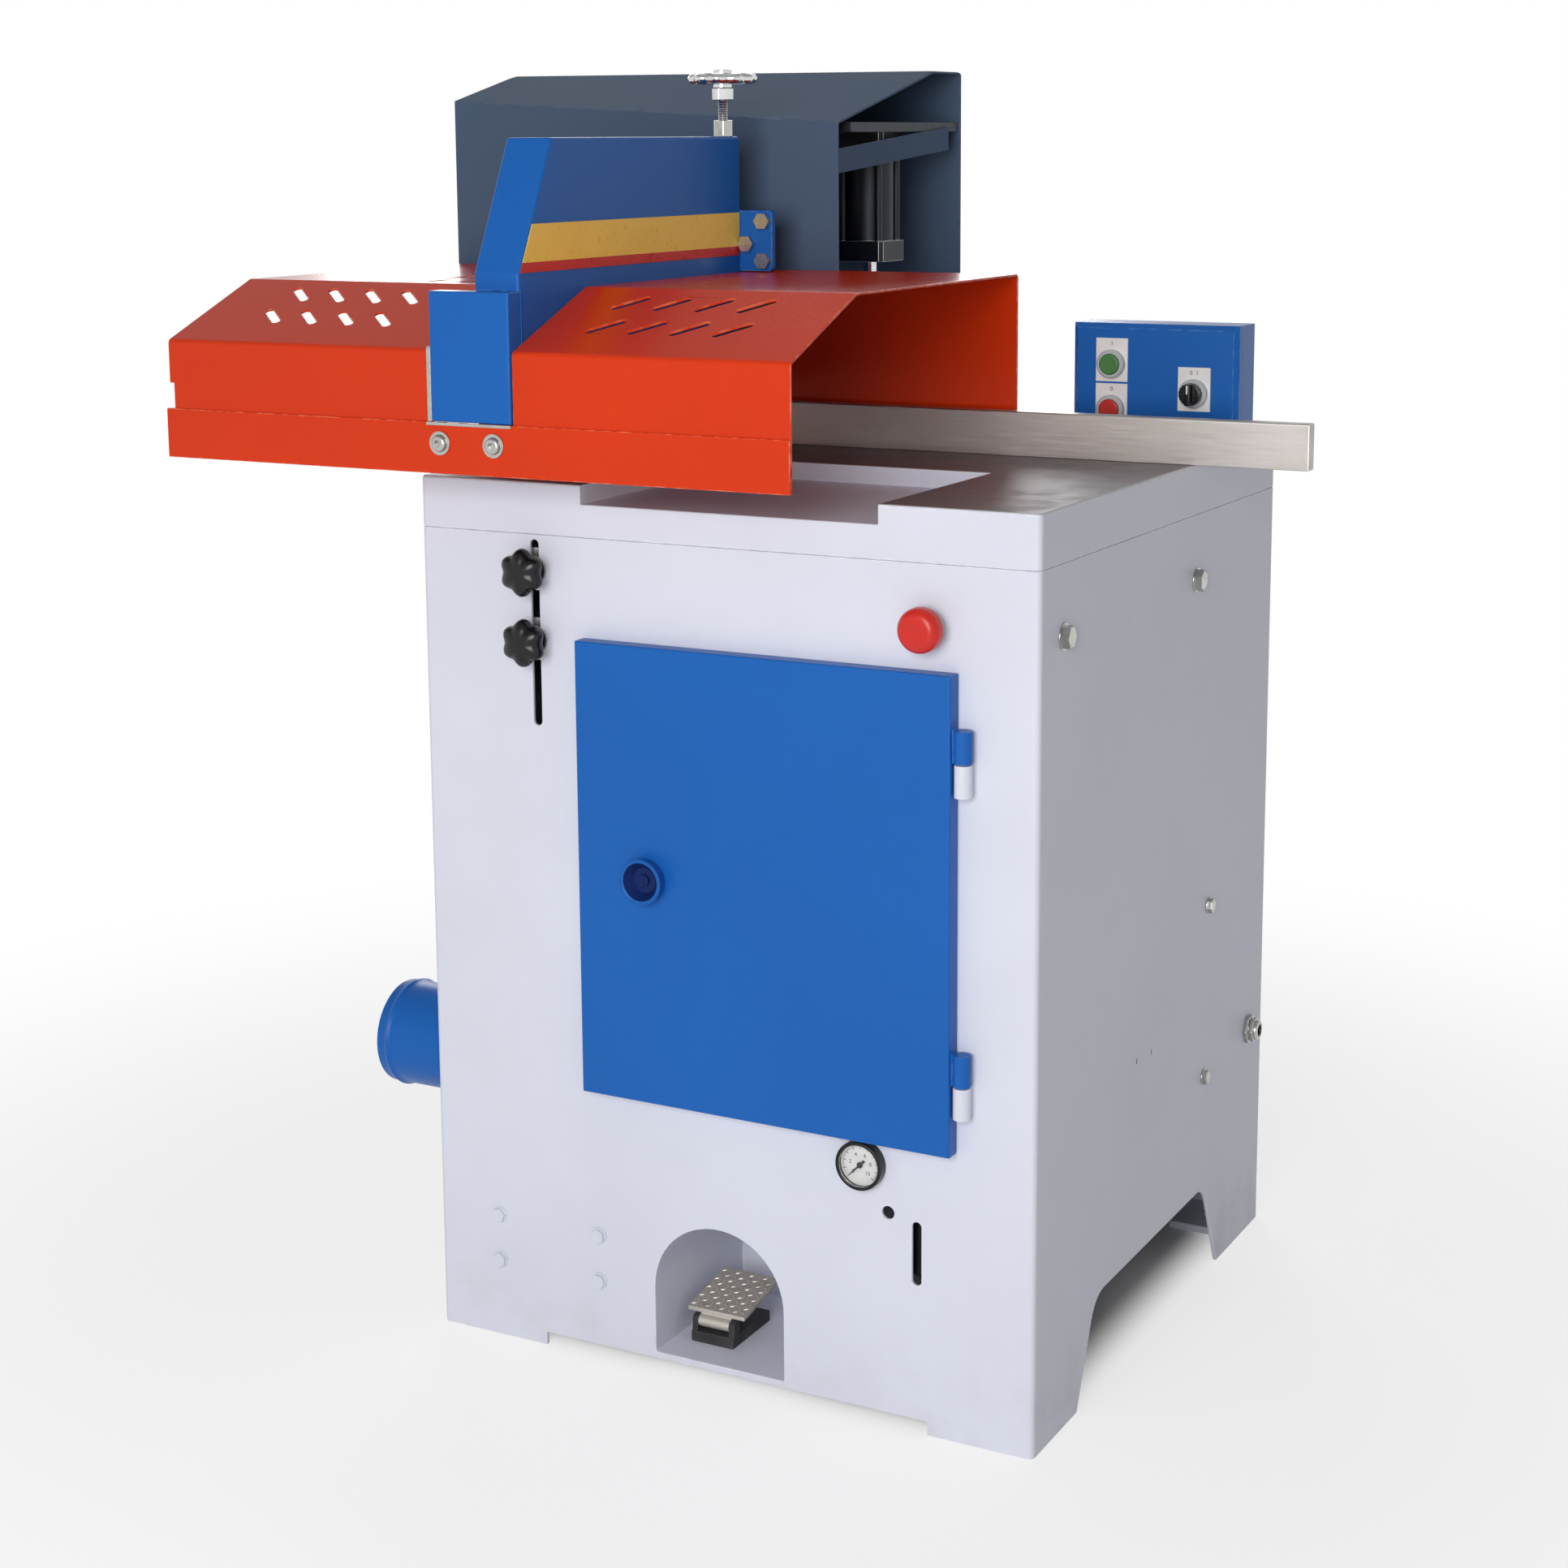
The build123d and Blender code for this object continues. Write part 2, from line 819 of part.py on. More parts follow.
def make_column_base():
    x = (rod_left_x - rod_radius - base_margin, clamp_x + clamp_cap_width / 2)
    y = (rod_y - rod_radius - base_margin / 2, min(post_y + rod_radius + base_margin / 2, cabinet_depth))
    plate = block(x, y, (table_height, base_top))
    for spot in column_rods():
        plate -= rod("Z", rod_radius + seat_gap, (table_height - over, base_top + over), spot)
    return plate


def column_rods():
    return [(rod_left_x, rod_y), (rod_right_x, rod_y), (rod_left_x, post_y)]


def make_guide_rods():
    span = (table_height, top_plate_z + top_plate_thickness)
    return [rod("Z", rod_radius, span, spot) for spot in column_rods()]


def make_top_plate():
    x = (rod_left_x - rod_radius - base_margin, cover_right - cover_gauge)
    y = (rod_y - rod_radius - base_margin / 2, cover_back - cover_gauge)
    plate = block(x, y, (top_plate_z, top_plate_z + top_plate_thickness))
    for spot in column_rods():
        hole = (top_plate_z - over, top_plate_z + top_plate_thickness + over)
        plate -= rod("Z", rod_radius + seat_gap, hole, spot)
    return plate


def make_clamp_cylinder():
    centre = (clamp_x, clamp_y)
    half = clamp_cap_width / 2
    square_x = (clamp_x - half, clamp_x + half)
    square_y = (clamp_y - half, clamp_y + half)
    lower = (clamp_bottom, clamp_bottom + clamp_cap_height)
    upper = (top_plate_z - clamp_cap_height, top_plate_z)
    body = block(square_x, square_y, lower) + block(square_x, square_y, upper)
    body = chamfer(body.edges().filter_by(Axis.Z), clamp_cap_edge)
    body += rod("Z", clamp_barrel_radius, (lower[1], upper[0]), centre)
    offset = tie_rod_spacing / 2
    for dx in (-offset, offset):
        for dy in (-offset, offset):
            body += rod("Z", tie_rod_radius, (lower[0], upper[1]), (clamp_x + dx, clamp_y + dy))
    body -= rod("Z", clamp_bore_radius, (lower[1], upper[0]), centre)
    return body - rod("Z", clamp_rod_radius + running_fit, (lower[0] - over, lower[1] + over), centre)


def make_clamp_rod():
    centre = (clamp_x, clamp_y)
    piston_z = clamp_bottom + clamp_cap_height + pass_gap
    shaft = rod("Z", clamp_rod_radius, (carriage_bottom + foot_thickness, piston_z + piston_height), centre)
    return shaft + rod("Z", clamp_bore_radius - running_fit, (piston_z, piston_z + piston_height), centre)


def cover_plane(drop):
    fall = (cover_fold_rise[1] - cover_fold_rise[0]) / (cover_right - cover_left)
    rise = math.tan(math.radians(cover_slope))
    normal = Vector(-fall, -rise, 1).normalized()
    corner = Vector(cover_left, cover_front, table_height + cover_fold_rise[0])
    return Plane(corner - normal * drop, z_dir=normal)


def make_rear_cover():
    outer = block((cover_left, cover_right), (cover_front, cover_back), (cover_bottom, cover_top))
    outer = split(outer, cover_plane(0), keep=Keep.BOTTOM)
    left_corners = outer.edges().filter_by(Axis.Z).group_by(Axis.X)[0]
    outer = fillet(outer.faces().sort_by(Axis.Z)[-1].edges() + left_corners, cover_fold)
    inner_x = (cover_left + cover_gauge, cover_right + over)
    inner_y = (cover_front + cover_gauge, cover_back - cover_gauge)
    inner = block(inner_x, inner_y, (cover_bottom - over, cover_top - cover_gauge))
    inner = split(inner, cover_plane(cover_gauge), keep=Keep.BOTTOM)
    cover = outer - inner
    slot_sides = (neck_left - cover_slot_gap, neck_right + cover_slot_gap)
    slot_low = neck_low - cover_slot_gap
    slot_high = carriage_top + clamp_travel + cover_slot_gap
    front = (cover_front - over, cover_front + cover_gauge + over)
    cover -= block(slot_sides, front, (slot_low, slot_high))
    rail_y = (cover_front + cover_gauge / 2, cover_front + rail_length)
    rail_z = table_height + rail_front_rise
    points = [
        (rail_y[0], rail_z),
        (rail_y[0], rail_z + rail_height),
        (rail_y[1], rail_z + rail_height + rail_climb),
        (rail_y[1], rail_z + rail_climb),
    ]
    return cover + slab("X", points, (cover_right - cover_gauge, cover_right))


def hood_profile():
    points = [
        (hood_front, hood_bottom),
        (hood_front, hood_fold),
        (hood_front + hood_slope_run, hood_top),
        (hood_back, hood_top),
        (hood_back, table_height + hood_back_bottom),
    ]
    return points


def slope_plane(x, share):
    # A plane on the sloping panel, its local Y up the slope, at a share of the way from fold to top.
    rise = hood_top - hood_fold
    place = (x, hood_front + hood_slope_run * share, hood_fold + rise * share)
    normal = Vector(0, -rise, hood_slope_run).normalized()
    return Plane(place, x_dir=(1, 0, 0), z_dir=normal)


def slope_slots(end, way):
    # Leaning slots in rows on the sloping panel, set out from the hood's outer end.
    outline = Rot(0, 0, 90 + way * slope_slot_lean) * SlotOverall(slope_slot_length, slope_slot_width)
    slot = extrude(outline, amount=2 * hood_gauge, both=True)
    places = []
    for column in range(slope_slot_columns):
        x = end + way * (slope_slot_inset + column * slope_slot_pitch)
        places += [slope_plane(x, share) for share in slope_slot_shares]
    return [place * slot for place in places]


def make_hood_left():
    right = arm_left - pass_gap
    hood = folded_sheet(hood_profile(), hood_gauge, hood_bend, (hood_left_end, right))
    notch_x = (plate_left - pass_gap, right + over)
    hood -= block(notch_x, (hood_front - over, plate_back + pass_gap), (hood_strip_top, hood_top + over))
    notch_z = (hood_strip_top, hood_strip_top + hood_notch_height)
    end_x = (hood_left_end - over, hood_left_end + hood_notch_depth)
    hood -= block(end_x, (hood_front - over, hood_front + hood_gauge + over), notch_z)
    hood -= slope_slots(hood_left_end, 1)
    top = (hood_top - 2 * hood_gauge, hood_top + over)
    outline = Rot(0, 0, 90) * SlotOverall(top_slot_length, top_slot_width)
    first_y = hood_front + hood_slope_run + top_slot_front
    for row in range(top_slot_rows):
        y = first_y + row * top_slot_row_pitch
        stagger = (row % 2) * top_slot_pitch / 2
        for column in range(top_slot_columns):
            x = right - top_slot_pitch - stagger - column * top_slot_pitch
            hood -= prism("Z", outline, top, (x, y))
    return hood


def make_hood_right():
    hood = folded_sheet(hood_profile(), hood_gauge, hood_bend, (arm_right + pass_gap, hood_right_end))
    return hood - slope_slots(hood_right_end, -1)


def make_hood_strip():
    x = (hood_left_end - hood_strip_overrun, hood_right_end)
    return block(x, (hood_front - hood_gauge, hood_front), (hood_bottom, hood_strip_top))


def make_clamp_screws():
    screws = []
    strip_front = hood_front - hood_gauge
    head_front = strip_front - hood_screw_head
    middle = (plate_left + arm_right) / 2 - hood_screw_shift
    for side in (-0.5, 0.5):
        spot = (middle + side * hood_screw_spacing, hood_strip_top - hood_screw_drop)
        head = rod("Y", hood_screw_radius, (head_front, strip_front), spot)
        head = fillet(head.edges().group_by(Axis.Y)[0], hood_screw_head / 2)
        socket = (head_front - over, head_front + hood_screw_socket_depth)
        drive = hexagon("Y", hood_screw_socket, socket, spot)
        screws.append(head - drive)
    bolt_z = (flange_low + flange_high) / 2
    clear = flange_bolt_flats / math.sqrt(3) + pass_gap
    outer = flange_right - clear
    spots = [
        (arm_right + clear, bolt_z - flange_bolt_drop),
        (outer, bolt_z + flange_bolt_spread),
        (outer, bolt_z - flange_bolt_spread),
    ]
    for spot in spots:
        screws.append(hexagon("Y", flange_bolt_flats, (arm_rear - flange_bolt_head, arm_rear), spot))
    return screws


def make_guard_arm():
    side = [
        (arm_rear, arm_lower),
        (arm_rear, arm_top),
        (arm_crest, arm_top),
        (arm_nose, arm_nose_height),
        (arm_nose, arm_lower),
    ]
    shell = slab("X", side, (arm_left, arm_right))
    ends = shell.edges().group_by(Axis.Y)[-1] + shell.edges().group_by(Axis.Z)[0]
    shell = fillet([edge for edge in shell.edges() if edge not in ends], arm_fold)
    slope = math.atan2(arm_top - arm_nose_height, arm_crest - arm_nose)
    crest_shift = arm_gauge * math.tan(slope / 2)
    nose_shift = arm_gauge * math.tan((math.pi / 2 - slope) / 2)
    inside = [
        (arm_rear + over, arm_lower - over),
        (arm_rear + over, arm_top - arm_gauge),
        (arm_crest + crest_shift, arm_top - arm_gauge),
        (arm_nose + arm_gauge, arm_nose_height - nose_shift),
        (arm_nose + arm_gauge, arm_lower - over),
    ]
    shell -= slab("X", inside, (arm_left + arm_gauge, arm_right - arm_gauge))
    inner_x = (arm_left + arm_gauge, arm_right - arm_gauge)
    wall_z = (table_height + arm_wall_rise, arm_top - arm_gauge)
    shell += block(inner_x, (arm_rear - arm_gauge, arm_rear), wall_z)
    plate = block((plate_left, arm_right), (plate_front, plate_back), (plate_bottom, plate_top))
    plate = fillet(plate.edges().group_by(Axis.Y)[0], plate_fold)
    plate -= block(
        (plate_left + plate_gauge, arm_right - plate_gauge),
        (plate_front + plate_gauge, plate_back + over),
        (plate_bottom - over, plate_top - plate_gauge),
    )
    shell += plate
    nut_z = (arm_top, arm_top + screw_nut_height)
    shell += hexagon("Z", screw_nut_flats, nut_z, (screw_x, screw_y))
    bore = (arm_top - 2 * arm_gauge, nut_z[1] + over)
    return shell - rod("Z", screw_radius + running_fit, bore, (screw_x, screw_y))


def make_carriage():
    flange_y = (arm_rear, arm_rear + flange_thickness)
    flange = block((neck_left - flange_margin, flange_right), flange_y, (flange_low, flange_high))
    flange = fillet(flange.edges().filter_by(Axis.Y), flange_corner)
    block_y = (rod_y - carriage_depth / 2, rod_y + carriage_depth / 2)
    neck = block((neck_left, neck_right), (arm_rear + over, rod_y), (neck_low, carriage_top))
    block_x = (rod_left_x - carriage_wall, rod_right_x + carriage_wall)
    body = block(block_x, block_y, (carriage_bottom, carriage_top))
    body = fillet(body.edges().filter_by(Axis.Z), carriage_corner)
    foot_x = (rod_right_x - carriage_wall, clamp_x + clamp_cap_width / 2)
    foot_y = (rod_y, clamp_y + clamp_cap_width / 2)
    foot = block(foot_x, foot_y, (carriage_bottom, carriage_bottom + foot_thickness))
    body = flange + neck + body + foot
    for x in (rod_left_x, rod_right_x):
        body -= rod("Z", rod_radius + running_fit, (carriage_bottom - over, carriage_top + over), (x, rod_y))
    return body


def make_stop_screw():
    centre = (screw_x, screw_y)
    screw = rod("Z", screw_radius, (table_height + screw_low_rise, upper_nut_z + upper_nut_height), centre)
    screw += hexagon("Z", screw_nut_flats, (upper_nut_z, upper_nut_z + upper_nut_height), centre)
    collar_top = arm_top - arm_gauge - hole_gap
    return screw + rod("Z", collar_radius, (collar_top - collar_height, collar_top), centre)


def make_handwheel():
    low = upper_nut_z + upper_nut_height
    middle = low + wheel_hub_height / 2
    wheel = rod("Z", wheel_hub_radius, (low, low + wheel_hub_height), (0, 0))
    wheel += Pos(0, 0, middle) * Torus(wheel_radius - wheel_rim, wheel_rim)
    reach = wheel_radius - wheel_rim
    for index in range(wheel_spokes):
        spoke = Pos(reach / 2, 0, middle) * Box(reach, wheel_spoke_width, wheel_spoke_height)
        wheel += Rot(0, 0, index * 360 / wheel_spokes) * spoke
    return Pos(screw_x, screw_y, 0) * wheel


def make_stop_block():
    x = (arm_left + arm_gauge + hole_gap, arm_right - arm_gauge - hole_gap)
    y_high = arm_rear - arm_gauge - hole_gap
    body = block(x, (y_high - stop_block_depth, y_high), (stop_block_low, stop_block_low + stop_block_height))
    bore = (stop_block_low - over, stop_block_low + stop_block_height + over)
    return body - rod("Z", screw_radius + running_fit, bore, (screw_x, screw_y))


def make_control_box():
    body_front = box_front + lid_depth
    box_z = (table_height, table_height + box_height)
    body = block((box_left, box_right), (body_front, box_front + box_depth), box_z)
    inside_x = (box_left + box_gauge, box_right - box_gauge)
    inside_z = (table_height + box_gauge, table_height + box_height - box_gauge)
    return body - block(inside_x, (body_front - over, box_front + box_depth - box_gauge), inside_z)


def lid_holes():
    # The centre and radius of what passes through the lid at each control.
    return [(green_centre, push_radius), (red_centre, push_radius), (selector_centre, selector_grip)]


def make_control_lid():
    back = box_front + lid_depth
    lid = block((box_left, box_right), (box_front, back), (table_height, table_height + box_height))
    lid = chamfer(lid.edges().group_by(Axis.Y)[0], lid_chamfer)
    edge = lid_chamfer + box_gauge
    inside_x = (box_left + edge, box_right - edge)
    inside_z = (table_height + edge, table_height + box_height - edge)
    lid -= block(inside_x, (box_front + 2 * box_gauge, back + over), inside_z)
    for centre, hole in lid_holes():
        lid -= rod("Y", hole + hole_gap, (box_front - over, back), centre)
    return lid


def make_legend_plates():
    plates = []
    for centre, hole in lid_holes():
        half_x = legend_width / 2
        low = max(centre[1] - legend_height / 2 + legend_rise, table_height + lid_chamfer + legend_margin)
        x = (centre[0] - half_x, centre[0] + half_x)
        plate = block(x, (box_front - legend_thickness, box_front), (low, low + legend_height))
        through = (box_front - legend_thickness - over, box_front + over)
        plates.append(plate - rod("Y", hole + hole_gap, through, centre))
    return plates


def make_button_bezels():
    bezels = []
    face = box_front - legend_thickness
    for centre, hole in lid_holes():
        bezel = ring("Y", bezel_radius, hole + hole_gap, (face - bezel_height, face), centre)
        bezels.append(chamfer(bezel.edges().group_by(Axis.Y)[0].sort_by(SortBy.RADIUS)[-1], control_edge))
    collar = ring("Y", stop_bezel_radius, stop_stem_radius + hole_gap, (-stop_bezel_height, 0), stop_centre)
    return bezels + [collar]


def make_push_button(centre):
    front = box_front - legend_thickness - bezel_height - push_travel
    button = rod("Y", push_radius, (front, front + push_depth), centre)
    return fillet(button.edges().group_by(Axis.Y)[0], control_edge)


def make_selector():
    face = box_front - legend_thickness - bezel_height - hole_gap
    knob = rod("Y", selector_radius, (face - selector_height / 2, face), selector_centre)
    grip_x = (selector_centre[0] - selector_grip / 2, selector_centre[0] + selector_grip / 2)
    grip_z = (selector_centre[1] - selector_radius, selector_centre[1] + selector_radius)
    grip = block(grip_x, (face - selector_height, face - selector_height / 2), grip_z)
    stem = rod("Y", selector_grip, (face, box_front + lid_depth / 2), selector_centre)
    return knob + fillet(grip.edges().filter_by(Axis.Y), selector_edge) + stem


def make_stop_button():
    cap_back = -stop_bezel_height - stop_stand
    cap = rod("Y", stop_cap_radius, (cap_back - stop_cap_height, cap_back), stop_centre)
    cap = fillet(cap.edges().group_by(Axis.Y)[0], stop_cap_round)
    return cap + rod("Y", stop_stem_radius, (cap_back - over, wall + stop_travel), stop_centre)


def make_stop_stud(z):
    stud = rod("Y", stud_radius, (-stud_tip, wall), (knob_x, z))
    stud += rod("Y", washer_radius, (-hole_gap - washer_thickness, -hole_gap), (knob_x, z))
    shoe_y = (wall + hole_gap, wall + hole_gap + stop_shoe_thickness)
    half_x = stop_shoe_width / 2
    half_z = stop_shoe_height / 2
    stud += block((knob_x - half_x, knob_x + half_x), shoe_y, (z - half_z, z + half_z))
    return stud + rod("Y", stud_radius, (0, shoe_y[1]), (knob_x, z))


def make_star_knob(z):
    back = -hole_gap - washer_thickness - hole_gap
    head_back = back - knob_neck
    outline = Circle(knob_radius - knob_lobe_radius)
    for spot in PolarLocations(knob_radius - knob_lobe_radius, knob_lobes):
        outline += spot * Circle(knob_lobe_radius)
    knob = prism("Y", outline, (head_back - knob_height, head_back), (knob_x, z))
    knob = chamfer(knob.edges().group_by(Axis.Y)[0], knob_edge)
    knob += rod("Y", knob_neck_radius, (head_back, back), (knob_x, z))
    return knob - rod("Y", stud_radius + running_fit, (-stud_tip - hole_gap, 0), (knob_x, z))


def make_door():
    front = -door_gap - door_depth
    door = block((door_left, door_right), (front, -door_gap), (door_bottom, door_top))
    door = fillet(door.edges().group_by(Axis.Y)[0], door_edge)
    inside_x = (door_left + door_gauge, door_right - door_gauge)
    door -= block(inside_x, (front + door_gauge, 0), (door_bottom + door_gauge, door_top - door_gauge))
    for top in hinge_tops:
        knuckle_z = (top - knuckle_length, top)
        centre = (hinge_x, -hinge_setback)
        door += rod("Z", hinge_radius, knuckle_z, centre)
        leaf_y = (-hinge_setback - hinge_radius / 2, -hinge_setback + hinge_radius / 2)
        door += block((door_right - door_gauge, hinge_x), leaf_y, knuckle_z)
        bore = (knuckle_z[0] - over, knuckle_z[0] + hinge_pin_length + over)
        door -= rod("Z", hinge_pin_radius + running_fit, bore, centre)
    hole = (front - over, front + door_gauge + over)
    return door - rod("Y", latch_shaft_radius + running_fit, hole, latch_centre)


def make_hinge_knuckles():
    knuckles = []
    for top in hinge_tops:
        high = top - knuckle_length - knuckle_gap
        span = (high - knuckle_length, high)
        knuckle = rod("Z", hinge_radius, span, (hinge_x, -hinge_setback))
        half = knuckle_leaf / 2
        knuckle += block((hinge_x - half, hinge_x + half), (-hinge_setback, 0), span)
        pin_z = (high - over, high + knuckle_gap + hinge_pin_length)
        knuckle += rod("Z", hinge_pin_radius, pin_z, (hinge_x, -hinge_setback))
        knuckles.append(knuckle)
    return knuckles


def make_latch():
    face = -door_gap - door_depth - hole_gap
    x, z = latch_centre
    knob = rod("Y", latch_radius, (face - latch_height, face), latch_centre)
    knob = fillet(knob.edges().group_by(Axis.Y)[0], latch_edge)
    grip_x = (x - latch_grip_width / 2, x + latch_grip_width / 2)
    grip_z = (z - latch_grip_length / 2, z + latch_grip_length / 2)
    grip = block(grip_x, (face - latch_height - latch_grip_height, face - latch_height), grip_z)
    knob += fillet(grip.edges().filter_by(Axis.Y), latch_grip_round)
    cam_y = (wall + latch_cam_gap, wall + latch_cam_gap + latch_cam_thickness)
    knob += rod("Y", latch_shaft_radius, (face, cam_y[1]), latch_centre)
    half = latch_cam_width / 2
    cam = block((x - half, x + half), cam_y, (z - half, z + latch_cam_length))
    return knob + fillet(cam.edges().filter_by(Axis.Y), latch_cam_corner)


def make_gauge_case():
    centre = gauge_centre
    case = rod("Y", gauge_radius, (-gauge_depth, 0), centre)
    case = fillet(case.edges().group_by(Axis.Y)[0], gauge_edge)
    case -= rod("Y", gauge_radius - gauge_rim, (-gauge_depth - over, -gauge_depth + gauge_dish), centre)
    dial = gauge_dish - gauge_depth
    case += rod("Y", needle_hub_radius / 2, (dial - needle_lift - 2 * needle_thickness, dial + over), centre)
    return case + rod("Y", gauge_stem_radius, (-over, wall + regulator_setback), centre)


def make_gauge_lens():
    front = -gauge_depth + lens_setback
    return rod("Y", gauge_radius - gauge_rim - seat_gap, (front, front + lens_thickness), gauge_centre)


def make_needle():
    dial = -gauge_depth + gauge_dish
    y = (dial - needle_lift - needle_thickness, dial - needle_lift)
    half = needle_width / 2
    tip = needle_tip / 2
    arm = [(-half, -needle_tail), (half, -needle_tail), (tip, needle_length), (-tip, needle_length)]
    flat = slab("Y", arm, y) + rod("Y", needle_hub_radius, y, (0, 0))
    flat -= rod("Y", needle_hub_radius / 2 + running_fit, (y[0] - over, y[1] + over), (0, 0))
    return Pos(gauge_centre[0], 0, gauge_centre[1]) * Rot(0, -needle_rest, 0) * flat


def make_regulator():
    y = (wall + regulator_setback, wall + regulator_setback + regulator_depth)
    z = (gauge_centre[1] - regulator_height / 2, gauge_centre[1] + regulator_height / 2)
    body = block((gauge_centre[0] - regulator_side, sight_x + regulator_side), y, z)
    body = fillet(body.edges().filter_by(Axis.Y), regulator_corner)
    middle = (y[0] + y[1]) / 2
    bowl = rod("Z", bowl_radius, (z[0] - bowl_height, z[0]), (sight_x, middle))
    return body + fillet(bowl.edges().group_by(Axis.Z)[0], bowl_round)


def pedal_slab(x, low, high):
    # A slab between two heights measured square to the sloping tread.
    end = pedal_front + pedal_length
    points = [
        (pedal_front, pedal_pin_z + low),
        (pedal_front, pedal_pin_z + high),
        (end, pedal_pin_z + high + pedal_rise),
        (end, pedal_pin_z + low + pedal_rise),
    ]
    return slab("X", points, x)


def make_pedal_base():
    half = pedal_base_width / 2
    floor = niche_floor
    front = pedal_front - pedal_barrel_radius - pedal_base_margin
    base = block(
        (pedal_x - half, pedal_x + half),
        (front, pedal_front + pedal_length - pedal_barrel_radius),
        (floor, floor + pedal_base_height),
    )
    for x in (pedal_x - half, pedal_x + half - pedal_ear):
        span = (x, x + pedal_ear)
        ear_y = (pedal_front - pedal_barrel_radius, pedal_front + pedal_barrel_radius)
        base += block(span, ear_y, (floor, pedal_pin_z))
        base += rod("X", pedal_barrel_radius, span, (pedal_front, pedal_pin_z))
    return base + rod("X", pedal_pin_radius, (pedal_x - half, pedal_x + half), (pedal_front, pedal_pin_z))


def make_pedal_tread():
    half = pedal_width / 2
    inner = pedal_base_width / 2 - pedal_ear - hole_gap
    low = pedal_barrel_radius + pedal_tread_gap
    tread = pedal_slab((pedal_x - half, pedal_x + half), low, low + pedal_gauge)
    barrel_x = (pedal_x - inner, pedal_x + inner)
    tread += rod("X", pedal_barrel_radius, barrel_x, (pedal_front, pedal_pin_z))
    rib_y = (pedal_front, pedal_front + pedal_barrel_radius)
    tread += block(barrel_x, rib_y, (pedal_pin_z, pedal_pin_z + low + pedal_tread_gap))
    bore = (barrel_x[0] - over, barrel_x[1] + over)
    return tread - rod("X", pedal_pin_radius + running_fit, bore, (pedal_front, pedal_pin_z))


def make_dust_port():
    tube = ring("X", port_radius, port_radius - port_gauge, (-port_length, 0), (port_y, port_z))
    return tube + ring("X", port_flange_radius, port_radius - port_gauge, (-port_flange, 0), (port_y, port_z))


def make_cabinet_bolts():
    bolts = []
    for x in lift_bolt_x:
        for z in lift_bolt_z:
            bolt = hexagon("Y", small_flats, (-small_head, 0), (x, z))
            bolts.append(bolt + rod("Y", small_shank, (-over, wall + lift_plate_thickness), (x, z)))
    sizes = [(spot, large_flats, large_head, large_shank) for spot in side_bolt_large]
    sizes += [(spot, small_flats, small_head, small_shank) for spot in side_bolt_small]
    for spot, flats, head, shank in sizes:
        bolt = hexagon("X", flats, (cabinet_width, cabinet_width + head), spot)
        bolts.append(bolt + rod("X", shank, (cabinet_width - shank_length, cabinet_width + over), spot))
    return bolts


def make_gland():
    spot = (gland_y, gland_z)
    gland = hexagon("X", gland_flats, (cabinet_width, cabinet_width + gland_proud / 2), spot)
    inside = right_inner - gland_inside
    gland += rod("X", gland_radius, (inside, cabinet_width + gland_proud), spot)
    return gland - rod("X", gland_bore, (inside - over, cabinet_width + gland_proud + over), spot)


def pivot_bracket_spans():
    left = hub_left - hub_gap
    right = hub_right + hub_gap
    return [(left - bracket_thickness, left), (right, right + bracket_thickness)]


def make_pivot_brackets():
    brackets = []
    for span in pivot_bracket_spans():
        low = pivot_z - bracket_height / 2
        high = pivot_z + bracket_height / 2
        points = [
            (pivot_y, pivot_z - bracket_radius),
            (rear_inner, low),
            (rear_inner, high),
            (pivot_y, pivot_z + bracket_radius),
        ]
        bracket = slab("X", points, span) + rod("X", bracket_radius, span, (pivot_y, pivot_z))
        middle = max((span[0] + span[1]) / 2, wall + bracket_foot_width / 2)
        foot_x = (middle - bracket_foot_width / 2, middle + bracket_foot_width / 2)
        bracket += block(foot_x, (rear_inner - bracket_foot, rear_inner), (low, high))
        bore = (span[0] - over, span[1] + over)
        brackets.append(bracket - rod("X", pivot_radius + seat_gap, bore, (pivot_y, pivot_z)))
    return brackets


def make_pivot_shaft():
    spans = pivot_bracket_spans()
    return rod("X", pivot_radius, (spans[0][0], spans[1][1]), (pivot_y, pivot_z))


def lift_pad_outline():
    # The pad's underside runs along the line from pivot to spindle, clear of the rod's round nose.
    along = (Vector(spindle_y, spindle_z) - Vector(pivot_y, pivot_z)).normalized()
    above = Vector(along.Y, -along.X)
    low = lift_rod_radius + lift_nose_gap
    high = low + lift_pad_thickness
    tip = lift_forward + lift_pad_overrun
    corners = [(0, low), (tip, low), (tip, high), (0, high)]
    places = [Vector(spindle_y, spindle_z) + along * out + above * up for out, up in corners]
    return [(place.X, place.Y) for place in places]


